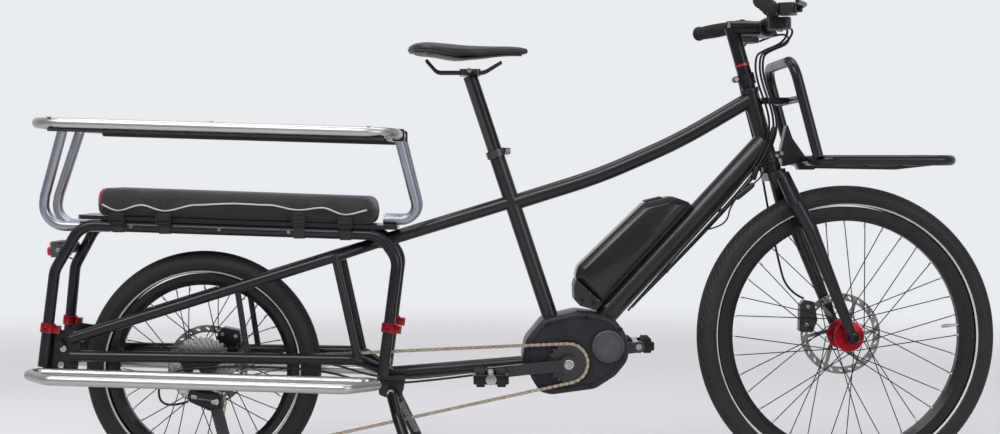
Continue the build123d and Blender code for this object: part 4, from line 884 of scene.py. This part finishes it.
def build_motor():
    with Piece("motor_casing", MOTOR_PAINT, "frame", "black_plastic", replaces=["motor_housing"],
               crease=30) as bm:
        casing(bm, MOTOR, Vector((0, 5, 0)), (1, 0, 0),
               [(0, 46), (0.8, 49), (3, 52.4), (6.5, 54.4), (10, 55), (12, 55), (12.5, 53.7), (14.5, 53.7),
                (15, 55), (19, 55)], 9)
    with Piece("motor_bearing_ring", ALLOY, "frame", "alloy_black") as bm:
        for side, y in ((-1, -50), (1, 60)):
            lathe(bm, [(11.6, -3), (22, -3), (22, 1.5), (20, 3.4), (13, 3.4), (11.6, 2)],
                  beside(CRANK, y), (0, side, 0), 40, closed=True)
    with Piece("motor_cover_disc", GREY_PLASTIC, "frame", "dark_grey_plastic") as bm:
        centre = Vector((391, -61, 313))
        lathe(bm, [(35.0, -9.5), (35.4, -2), (33, 0.6), (30.5, 1.2), (29.5, 0.3), (28.5, 0.3), (27.5, 1.3),
                   (12, 2.0), (0, 2.2)], centre, (0, -1, 0), 64)
    with Piece("motor_screws", BLACK_BOLT, "frame", "steel") as bm:
        for x, z in ((226, 318), (262, 362), (345, 376), (418, 350), (424, 296), (352, 226), (256, 222)):
            for side, y in ((-1, -50), (1, 60)):
                screw(bm, (x, y, z), (0, side, 0), 5.0, 3.0)
    with Piece("chain_guard", PLASTIC, "frame", "black_plastic") as bm:
        arc = [Vector((CRANK.x + 52 * cos(a), -52, CRANK.z + 52 * sin(a))) for a in
               (radians(d) for d in range(-60, 151, 10))]
        sweep(bm, arc, [(-1.2, -2.4), (1.2, -2.4), (1.2, 2.4), (-1.2, 2.4)], up=Vector((0, 1, 0)))


def eased(table, t):
    """Value at t of a table of (t, value), eased between its rows."""
    if t <= table[0][0]:
        return table[0][1]
    for (t0, a), (t1, b) in zip(table, table[1:]):
        if t <= t1:
            s = (t - t0) / (t1 - t0)
            return a + (b - a) * s * s * (3 - 2 * s)
    return table[-1][1]


# ---------------------------------------------------------------- seat
def build_saddle():
    """Crowned saddle: a wide rear that narrows to the nose, with a shallow channel and a sewn rim."""
    low, high = corners("saddle")
    length, half = high.x - low.x, high.y
    width = [(0, 0.34), (0.05, 0.72), (0.14, 0.97), (0.26, 0.96), (0.38, 0.78), (0.5, 0.52), (0.62, 0.34),
             (0.78, 0.25), (0.92, 0.21), (0.98, 0.15), (1.0, 0.08)]
    crown = [(0, -9), (0.06, -2), (0.16, 0), (0.3, -2.5), (0.5, -6), (0.75, -7), (0.92, -8), (1.0, -13)]
    skirt = [(0, 14), (0.08, 24), (0.2, 27), (0.38, 33), (0.55, 28), (0.8, 20), (0.95, 17), (1.0, 10)]

    stations = [0.0, 0.015, 0.05, 0.1, 0.15, 0.2, 0.26, 0.32, 0.38, 0.44, 0.5, 0.57, 0.64, 0.72, 0.8, 0.88, 0.95,
                0.985, 1.0]
    rings, rim_left, rim_right = [], [], []
    for t in stations:
        w, top, depth = half * eased(width, t), high.z + eased(crown, t), eased(skirt, t)
        ring = []
        for k in range(28):
            a = tau * k / 28
            y = w * abs(cos(a)) ** 0.75 * (1 if cos(a) >= 0 else -1)
            rise = abs(sin(a)) ** 0.8
            if sin(a) >= 0:
                z = top - depth * 0.62 * (1 - rise) - 2.2 * max(0, 1 - (abs(y) / 14) ** 2) * (0.1 < t < 0.75)
            else:
                z = top - depth * 0.62 - depth * 0.38 * rise
            ring.append(Vector((low.x + length * t, y, z)))
        rings.append(ring)
        rim_right.append(Vector((low.x + length * t, -w * 1.003, top - depth * 0.62)))
        rim_left.append(Vector((low.x + length * t, w * 1.003, top - depth * 0.62)))
    piece = Piece("saddle_cover", LEATHER, "seat", "saddle_cover", replaces=["saddle"], crease=60, subdivide=1)
    with piece as bm:
        loops(bm, rings, caps=True)
    with Piece("saddle_rim_seam", LEATHER, "seat", "saddle_cover") as bm:
        sweep(bm, rim_right + list(reversed(rim_left)), circle(1.1, 8), closed=True)
    with Piece("saddle_base", PLASTIC, "seat", "black_plastic", crease=60) as bm:
        base = []
        for t in stations[2:-2]:
            w, top, depth = half * eased(width, t), high.z + eased(crown, t), eased(skirt, t)
            base.append([Vector((low.x + length * t, w * 0.8 * cos(tau * k / 20), top - depth * 0.93
                                 + 4 * sin(tau * k / 20))) for k in range(20)])
        loops(bm, base, caps=True)
    with Piece("saddle_clamp_bolts", BOLT, "seat", "steel") as bm:
        post_top = corners("seatpost")[1].z
        for y in (-29, 29):
            screw(bm, (89, y, post_top - 26), (0, 1 if y > 0 else -1, 0), 5.5, 4)


# ---------------------------------------------------------------- cushion
DECK_FALL = 0.0346
STRAPS = (-668.0, -568.0, -278.0, -178.0)


def deck_top(x):
    return 577.0 - DECK_FALL * (x + 104)


def puff(obj, pressure, limit, steps=20):
    """Inflate a cover by cloth simulation, with each point's travel capped (mm)."""
    rest = [v.co.copy() for v in obj.data.vertices]
    scene = bpy.context.scene
    cloth = obj.modifiers.new("Cloth", "CLOTH")
    settings = cloth.settings
    settings.quality = 5
    settings.mass = 0.4
    settings.tension_stiffness = settings.compression_stiffness = 12
    settings.bending_stiffness = 0.6
    settings.use_pressure = True
    settings.uniform_pressure_force = pressure
    settings.effector_weights.gravity = 0
    cloth.point_cache.frame_start = 1
    cloth.point_cache.frame_end = steps
    for step in range(1, steps + 1):
        scene.frame_set(step)
    graph = bpy.context.evaluated_depsgraph_get()
    shaped = [v.co.copy() for v in obj.evaluated_get(graph).data.vertices]
    obj.modifiers.remove(cloth)
    scene.frame_set(1)
    for vertex, start, end in zip(obj.data.vertices, rest, shaped):
        travel = end - start
        cap = limit * MM
        vertex.co = start + (travel if travel.length <= cap else travel.normalized() * cap)


def bake(obj):
    """Apply an object's modifiers."""
    graph = bpy.context.evaluated_depsgraph_get()
    obj.data = bpy.data.meshes.new_from_object(obj.evaluated_get(graph))
    obj.modifiers.clear()


def build_cushion():
    """Sewn bench cushion: dark cover, darker lower band, red rear end and a wavy reflective piping."""
    low, high = corners("cushion")
    rear, front, half = low.x + 1, high.x - 2, high.y - 4
    height = 58.0
    bm = bmesh.new()
    outline = rounded(front - rear, 2 * half, 22, 6)
    rings = []
    for level, inset in ((0, 9), (2, 3), (8, 0), (height - 16, 0), (height - 6, 4), (height - 1.5, 11),
                         (height, 22)):
        ring = []
        for x, y in outline:
            reach = Vector((x, y))
            edge = Vector((max(0, abs(x) - (front - rear) / 2 + 40) * (1 if x > 0 else -1),
                           max(0, abs(y) - half + 40) * (1 if y > 0 else -1)))
            moved = reach - (edge.normalized() * inset if edge.length else edge)
            place_x = (rear + front) / 2 + moved.x
            ring.append(Vector((place_x, moved.y, deck_top(place_x) + 1.0 + level)))
        rings.append(ring)
    loops(bm, rings, caps=True)
    bm.transform(Matrix.Scale(MM, 4))
    bmesh.ops.recalc_face_normals(bm, faces=bm.faces)
    obj = add_object("cushion_cover", mesh_of(bm, "cushion_start"))
    remesh = obj.modifiers.new("Remesh", "REMESH")
    remesh.mode = "VOXEL"
    remesh.voxel_size = 0.0065
    bake(obj)
    puff(obj, 4.0, 9)
    for vertex in obj.data.vertices:
        x, y, z = vertex.co / MM
        floor_z = deck_top(x) + 0.6
        top_z = deck_top(x) + 60.5
        pull = 2.2 * sum(max(0, 1 - abs(x - s) / 22) for s in STRAPS) * (abs(y) / 95) ** 4
        z = min(max(z, floor_z), top_z)
        vertex.co = Vector((x, y - pull * (1 if y > 0 else -1), z)) * MM
    smoother = obj.modifiers.new("Smooth", "SMOOTH")
    smoother.factor, smoother.iterations = 0.5, 4
    smoother = obj.modifiers.new("Subdivision", "SUBSURF")
    smoother.levels = smoother.render_levels = 1
    bake(obj)
    for material in (COVER, LOWER, RED_FABRIC):
        obj.data.materials.append(material)
    for face in obj.data.polygons:
        x, y, z = face.center / MM
        if x < low.x + 4 + 0.36 * (z - deck_top(x)):
            face.material_index = 2
        elif z < wave_height(x):
            face.material_index = 1
    obj.data.shade_smooth()
    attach(obj, "frame")
    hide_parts("cushion")
    dress_cushion(obj, low, high)


WAVE = [(-712, 625), (-668, 609), (-618, 621), (-568, 608), (-500, 621), (-423, 624), (-345, 621), (-278, 610),
        (-228, 615), (-178, 600), (-120, 611)]


def wave_height(x):
    """Height of the piping on the cushion's sides."""
    return eased(WAVE, x)


def dress_cushion(cover, low, high):
    """Piping and seams laid on the finished cover."""
    tree = BVHTree.FromPolygons([v.co for v in cover.data.vertices], [p.vertices for p in cover.data.polygons])

    def on_side(x, z, side):
        """The cover's point at x and z, seen from one side."""
        hit = tree.ray_cast(Vector((x * MM, side * 0.3, z * MM)), Vector((0, -side, 0)))
        return hit[0] / MM + Vector((0, side * 0.4, 0)) if hit[0] else None

    with Piece("cushion_piping", PIPING, "frame", "cushion_fabric") as bm:
        for side in (-1, 1):
            route = [on_side(x, wave_height(x), side) for x in range(int(low.x) + 20, int(high.x) - 22, 6)]
            sweep(bm, [p for p in route if p], circle(1.7, 8))
    with Piece("cushion_seams", STITCH, "frame", "cushion_fabric") as bm:
        ring = []
        x = low.x + 19
        start = Vector((x, 0, deck_top(x) + 30))
        for k in range(72):
            angle = tau * k / 72
            direction = Vector((0, cos(angle), sin(angle)))
            hit = tree.ray_cast((start + direction * 300) * MM, -direction)
            if hit[0]:
                ring.append(hit[0] / MM + direction * 0.3)
        sweep(bm, ring, circle(1.2, 6), up=Vector((1, 0, 0)), closed=True)


def build_straps():
    """Webbing straps from the cushion's lower edge round the rack rails, each with a ladder buckle."""
    rack_z = 12.0
    with Piece("cushion_strap_webbing", WEBBING, "frame", "strap_webbing", replaces=["cushion_straps"]) as bm:
        for x in STRAPS:
            z = deck_top(x) - 9 - rack_z
            for side in (-1, 1):
                top = wave_height(x) - 4
                route = [Vector((x, side * 93, top)), Vector((x, side * 94, top - 8)),
                         Vector((x, side * 90, z + 20))]
                for k in range(13):
                    angle = radians(50 - k * 17)
                    route.append(Vector((x, side * (70 + 13.4 * cos(angle)), z + 13.4 * sin(angle))))
                band(bm, route, Vector((1, 0, 0)), 24, 1.6)
                tail = [Vector((x, side * y, z + dz)) for y, dz in ((84.6, 6), (86, -4), (86, -13))]
                band(bm, tail, Vector((1, 0, 0)), 21, 1.4)
    with Piece("cushion_strap_buckles", PLASTIC, "frame", "black_plastic") as bm:
        for x in STRAPS:
            z = deck_top(x) - 9 - rack_z
            for side in (-1, 1):
                top = wave_height(x) - 4
                for drop in (5, 14, 23):
                    block(bm, (x, side * (95.2 - drop * 0.2), top - drop), (31, 3.4, 4), 1.2, segments=2)
                for dx in (-14.5, 14.5):
                    block(bm, (x + dx, side * 92.5, top - 14), (4, 3.4, 22), 1.2, segments=2)


def band(bm, points, across, width, thickness):
    """Flat strap along a route."""
    rings = []
    for i, point in enumerate(points):
        w = (points[min(i + 1, len(points) - 1)] - points[max(i - 1, 0)]).normalized()
        out = across.cross(w).normalized()
        rings.append([point + across * (width / 2) * a + out * (thickness / 2) * b
                      for a, b in ((-1, -1), (1, -1), (1, 1), (-1, 1))])
    loops(bm, rings, caps=True)


# ---------------------------------------------------------------- rails, racks and their fittings
RAIL_HALF, RAIL_R = 226.0, 11.1


def rail_z(x):
    return 772.6 - 0.0294 * (x + 65)


def build_rail_sleeves():
    """Padded sleeves on the inner and lower side of the passenger rail."""
    with Piece("rail_sleeves", FOAM, "frame", "rubber_black", crease=45) as bm:
        for side in (-1, 1):
            rings = []
            for k in range(30):
                x = -777 + (691 * k / 29)
                ring = []
                angles = [radians(14 - 6.1 * i) for i in range(21)]
                for a in angles:
                    ring.append(Vector((x, side * (RAIL_HALF - 17.4 * cos(a)), rail_z(x) + 17.4 * sin(a))))
                for a in reversed(angles):
                    ring.append(Vector((x, side * (RAIL_HALF - 11.3 * cos(a)), rail_z(x) + 11.3 * sin(a))))
                rings.append(ring)
            loops(bm, rings, caps=True)


def build_frame_fasteners():
    with Piece("rail_screws", BOLT, "frame", "steel") as bm:
        for x in (-775, -440, -118):
            for side in (-1, 1):
                screw(bm, (x, side * RAIL_HALF, rail_z(x) + RAIL_R - 0.4), (0, 0, 1), 4.2, 2.6)
        for side in (-1, 1):
            for y in (64, 80):
                screw(bm, (-64, side * y, rail_z(-64) + 4), (0.9, 0, 0.35), 5, 9)
            for x in (-640, -450, -300):
                z = deck_top(x) - 21
                screw(bm, (x, side * 81.6, z), (0, side, 0), 4, 3)
    low, high = corners("rack_collars")
    collar_z = (low.z + high.z) / 2
    screw_pairs("collar_screws", BLACK_BOLT, "frame", ((-818, 103, collar_z), (-85, 103, collar_z)), 3, 2.4)
    with Piece("rail_clamps", ALLOY, "frame", "alloy_black") as bm:
        for side in (-1, 1):
            block(bm, (-64, side * 72, rail_z(-64) - 1), (27, 26, 27), 5)
    with Piece("rack_lugs", RED, "frame", "anodised_red") as bm:
        for x in (-818, -85):
            for side in (-1, 1):
                block(bm, (x, side * 101, collar_z), (10, 7, 11), 2)
    screw_pairs("rack_foot_screws", BOLT, "frame", ((-137, 113, 249.5), (-110, 113, 242), (-126, 113, 230)),
                4.4, 3, lean=0.2)
    with Piece("seat_clamp_collar_screw", BOLT, "frame", "steel") as bm:
        low, high = corners("seat_clamp")
        screw(bm, (high.x - 8, low.y, (low.z + high.z) / 2 + 2), (0, -1, 0), 5, 4)


def build_stand_trim():
    with Piece("stand_foot_pads", RUBBER, "kickstand", "rubber_black") as bm:
        for side in (-1, 1):
            for k in range(5):
                block(bm, (-16 + 8 * k, side * 190, 4.5), (4, 36, 8.4), 1)
    with Piece("stand_spring", SPRING, "kickstand", "steel") as bm:
        coil(bm, Vector((-60, -40, 190)), Vector((-24, -78, 132)), 5.0, 0.9, 16)
    with Piece("stand_pivot_nuts", BOLT, "kickstand", "steel") as bm:
        for side in (-1, 1):
            nut(bm, (-82, side * 52, 212), (0, side, 0), 8, 5)


def build_tail_trim():
    high = corners("tail_lens")[1]
    with Piece("tail_reflector", CLEAR_LENS, "frame", "red_lens") as bm:
        block(bm, (high.x - 1, 0, high.z + 5.5), (5, 80, 8), 1.8)
    screw_pairs("tail_light_screws", BOLT, "frame", [(-796, 82.5, 524)], 5, 4)
    cable("tail_light_lead", "frame", ((-806, -10, 512), (-790, -12, 500), (-766, -20, 500), (-748, -30, 520),
                                       (-742, -40, 548), (-744, -52, 562)), 1.6, 8)


def build_front_rack_trim():
    screw_pairs("front_rack_screws", BOLT, "frame", ((748, 16.2, 850), (766, 16.2, 728), (776, 16.2, 733)),
                4.5, 3)


# ---------------------------------------------------------------- bar, levers and display
def long_axis(node, side):
    """Ends (mm) of the middle line of a node's straight part on one side of the frame."""
    points = [v.co / MM for v in NODES[node].data.vertices if v.co.y * side > 0.02]
    middle = sum(points, Vector()) / len(points)
    axis = max(points, key=lambda p: (p - middle).length) - middle
    for step in range(12):
        axis = sum(((p - middle) * (p - middle).dot(axis) for p in points), Vector()).normalized()
    reach = [(p - middle).dot(axis) for p in points]
    start, end = middle + axis * min(reach), middle + axis * max(reach)
    return (start, end) if abs(start.y) < abs(end.y) else (end, start)


def build_grips():
    with Piece("grip_rubber", RUBBER, "steering", "rubber_black", replaces=["grips"], crease=30) as bm:
        for side in (-1, 1):
            start, end = long_axis("grips", side)
            length = (end - start).length
            profile = [(11.2, 0), (17.2, 0.4), (17.4, 3), (15.2, 4.5)]
            steps = 26
            for k in range(steps):
                along = 8 + (length - 20) * k / steps
                swell = 15.0 + 1.5 * sin(pi * k / steps)
                gap = (length - 20) / steps
                profile += [(swell, along), (swell, along + gap * 0.6), (swell - 0.8, along + gap * 0.68),
                            (swell - 0.8, along + gap * 0.92)]
            profile += [(15.8, length - 10), (17.2, length - 6), (17.2, length - 2), (15, length),
                        (6, length + 0.3)]
            lathe(bm, profile, start, end - start, 40)
    with Piece("grip_collars", ALLOY, "steering", "alloy_black") as bm:
        for side in (-1, 1):
            start, end = long_axis("grips", side)
            lathe(bm, [(11.2, -7), (16.4, -7), (17, -6), (17, -0.6), (16.4, 0), (11.2, 0)],
                  start, end - start, 40, closed=True)


def build_bar_trim():
    with Piece("stem_screws", BLACK_BOLT, "steering", "steel", place=STEERED) as bm:
        for y in (-15, 15):
            for dz in (-14, 14):
                screw(bm, (763.5, y, 1010 + dz), (1, 0, 0), 3.6, 3)
    screw_pairs("stem_clamp_bolt", BOLT, "steering", [(677.8, 9, 896)], 5, 3.5, STEERED)
    with Piece("stem_face_plate", ALLOY, "steering", "alloy_black", place=STEERED) as bm:
        block(bm, (760, 0, 1010), (9, 42, 40), 4)
    with Piece("display_screen", SCREEN, "steering", "black_plastic", place=STEERED) as bm:
        tilt = Matrix.Rotation(radians(-29.9), 3, "Y")
        block(bm, (721.2, -88, 1073.6), (36, 52, 2.0), 0.8, tilt, 2)
    with Piece("display_buttons", RUBBER, "steering", "rubber_black", place=STEERED) as bm:
        for k in range(3):
            lathe(bm, [(3.6, 0), (3.4, 1.6), (2.4, 2.2)], (738, -104 + 16 * k, 1067.5), (-0.5, 0, 0.87), 16)


def cable(name, body, points, radius=2.5, sides=10, place=STRAIGHT):
    with Piece(name, CABLE, body, "cable_black", place=place) as bm:
        hose(bm, points, radius, sides)


def build_cables():
    """Bundle from the bar down the head tube, its upper part shaped to the parked steering, and the hoses along
    the frame.
    """
    starts = ((735, -92, 1004), (722, -112, 1000), (748, 70, 988))
    offsets = ((-8.0, -24.0), (0.0, -30.0), (8.0, -24.0))
    replaced = ("frame_cables", "steering_cables", None)
    for index, ((dx, y), start, node) in enumerate(zip(offsets, starts, replaced)):
        steered = (start, (790 + dx, start[1] * 0.7, 1010), (786 + dx, y * 1.4, 975), (736 + dx, y, 956),
                   (724 + dx, y, 943))
        fixed = [(726 + dx, y, 897), (760 + dx, y - 4, 805), (744 + dx, y - 4, 742), (700 + dx, y - 6, 672),
                 (560 + dx, y - 6, 520), (445 + dx, y - 2, 396 + dx)]
        piece = Piece(f"control_cable_{index}", CABLE, None, "cable_black")
        with piece as bm:
            hose(bm, [STEERED @ Vector(p) for p in steered] + fixed, 2.5)
        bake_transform(piece.obj)
        if node:
            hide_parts(node)
    cable("rear_brake_hose", "frame", ((212, 24, 262), (60, 24, 240), (-100, 34, 226), (-240, 60, 268),
                                       (-380, 60, 274), (-424, 56, 300)))
    cable("shift_cable", "frame", ((212, -24, 262), (60, -24, 240), (-120, -40, 226), (-240, -78, 270),
                                   (-540, -84, 275), (-585, -84, 230), (-570, -80, 180), (-518, -72, 196)))
    upper, lower = (701.6 + (896.3 - z) * 0.28355 for z in (940, 720))
    cable("front_brake_hose", "steering", (
        (744, 104, 1006), (716, 62, 985), (upper - 6, 50, 940), (lower - 7, 58, 720), (768, 61, 590),
        (786, 60, 500), (804, 54, 425), (840, 41, 409)), place=STEERED)
    with Piece("cable_couplers", PLASTIC, "frame", "black_plastic") as bm:
        for x, y, z in ((752, -34, 776), (714, -36, 690)):
            lathe(bm, [(3.4, -16), (5.5, -14), (6.2, -8), (6.2, 8), (5.5, 14), (3.4, 16)],
                  (x, y, z), (0.3, 0, 1), 20)
    with Piece("light_connector", PLASTIC, "frame", "black_plastic") as bm:
        lathe(bm, [(2.6, -26), (5.6, -23), (6.4, -14), (6.4, 14), (5.6, 23), (2.6, 26)],
              (689, -48, 650), (0.77, 0, 0.63), 20)
        hose(bm, ((708, -48, 666), (722, -46, 678), (732, -38, 690), (738, -32, 712)), 1.8, 8)
        hose(bm, ((670, -48, 634), (656, -46, 612), (654, -42, 590), (636, -36, 572), (608, -34, 566)), 1.8, 8)
    with Piece("cable_clips", BLACK_BOLT, "frame", "steel") as bm:
        for x, z in ((640, 607), (520, 476)):
            block(bm, (x, -30, z), (10, 14, 10), 3)


def build_axle_trim():
    with Piece("front_axle_cap", ALLOY, "steering", "alloy_black", place=STEERED) as bm:
        lathe(bm, [(9, -1), (11, 0), (11, 3), (9, 5.5), (5.5, 5.5), (5, 2)], (921, -70, 331), (0, -1, 0), 32)
    with Piece("front_caliper_screws", BOLT, "steering", "steel", place=STEERED) as bm:
        for x, z in ((842, 352), (846, 392)):
            screw(bm, (x, 46.4, z), (0, 1, 0), 5, 4)
            screw(bm, (x, 27.6, z), (0, -1, 0), 4.5, 2)
    with Piece("rear_caliper_screws", BOLT, "frame", "steel") as bm:
        for x, z in ((-462, 330), (-432, 326)):
            screw(bm, (x, 30.1, z), (0, -1, 0), 4.5, 2)
            screw(bm, (x, 61.9, z), (0, 1, 0), 5, 3)
    screw_pairs("rear_plate_washers", BLACK_BOLT, "frame", ((-820, 78.2, 318), (-765, 78.2, 268)), 4.5, 3)


# ---------------------------------------------------------------- stage
def build_stage():
    """Pale round floor whose rim fades into the backdrop."""
    material, tree, shader = principled("studio_floor")
    tree.links.new(blend_colours(tree, noise(tree, 0.7), (0.66, 0.655, 0.665), (0.70, 0.695, 0.705)),
                   shader.inputs["Base Color"])
    shader.inputs["Roughness"].default_value = 0.75
    place = tree.nodes.new("ShaderNodeTexCoord")
    centre = tree.nodes.new("ShaderNodeVectorMath")
    centre.operation = "LENGTH"
    tree.links.new(place.outputs["Object"], centre.inputs[0])
    fade = tree.nodes.new("ShaderNodeMapRange")
    fade.interpolation_type = "SMOOTHSTEP"
    for socket, value in (("From Min", 1.6), ("From Max", 4.6), ("To Min", 1.0), ("To Max", 0.0)):
        fade.inputs[socket].default_value = value
    tree.links.new(centre.outputs["Value"], fade.inputs["Value"])
    tree.links.new(fade.outputs["Result"], shader.inputs["Alpha"])
    bm = bmesh.new()
    bmesh.ops.create_circle(bm, cap_ends=True, radius=4.6, segments=96)
    floor = add_object("floor", mesh_of(bm, "floor"))
    floor.data.materials.append(material)


def area_light(name, place, target, size, power, colour=(1, 1, 1)):
    data = bpy.data.lights.new(name, "AREA")
    data.shape = "RECTANGLE"
    data.size, data.size_y = size
    data.energy = power
    data.color = colour
    light = add_object(name, data)
    light.location = place
    light.rotation_euler = (Vector(target) - Vector(place)).to_track_quat("-Z", "Y").to_euler()


def build_light():
    world = bpy.data.worlds.new("studio")
    bpy.context.scene.world = world
    world.use_nodes = True
    background = world.node_tree.nodes["Background"]
    background.inputs["Color"].default_value = (0.93, 0.95, 1.0, 1)
    way = world.node_tree.nodes.new("ShaderNodeTexCoord")
    parts = world.node_tree.nodes.new("ShaderNodeSeparateXYZ")
    level = world.node_tree.nodes.new("ShaderNodeMapRange")
    level.interpolation_type = "SMOOTHSTEP"
    for socket, value in (("From Min", 0.1), ("From Max", 0.8), ("To Min", 0.42), ("To Max", 0.88)):
        level.inputs[socket].default_value = value
    world.node_tree.links.new(way.outputs["Generated"], parts.inputs[0])
    world.node_tree.links.new(parts.outputs["Y"], level.inputs["Value"])
    world.node_tree.links.new(level.outputs["Result"], background.inputs["Strength"])
    area_light("key", (-1.2, -2.6, 3.4), (0, 0, 0.5), (3.6, 1.6), 115)
    area_light("fill", (2.8, -3.0, 1.8), (0.3, 0, 0.5), (2.0, 2.0), 36)
    area_light("top", (0.1, 0.3, 3.6), (0.1, 0, 0), (4.0, 1.2), 55)
    bpy.context.scene.view_settings.view_transform = "Standard"


dress_kept_nodes()
build_wheels()
build_chain()
build_cogs()
build_derailleur_trim()
build_crank_trim()
build_battery()
build_motor()
build_saddle()
build_cushion()
build_straps()
build_rail_sleeves()
build_frame_fasteners()
build_stand_trim()
build_tail_trim()
build_front_rack_trim()
build_grips()
build_bar_trim()
build_cables()
build_axle_trim()
build_stage()
build_light()
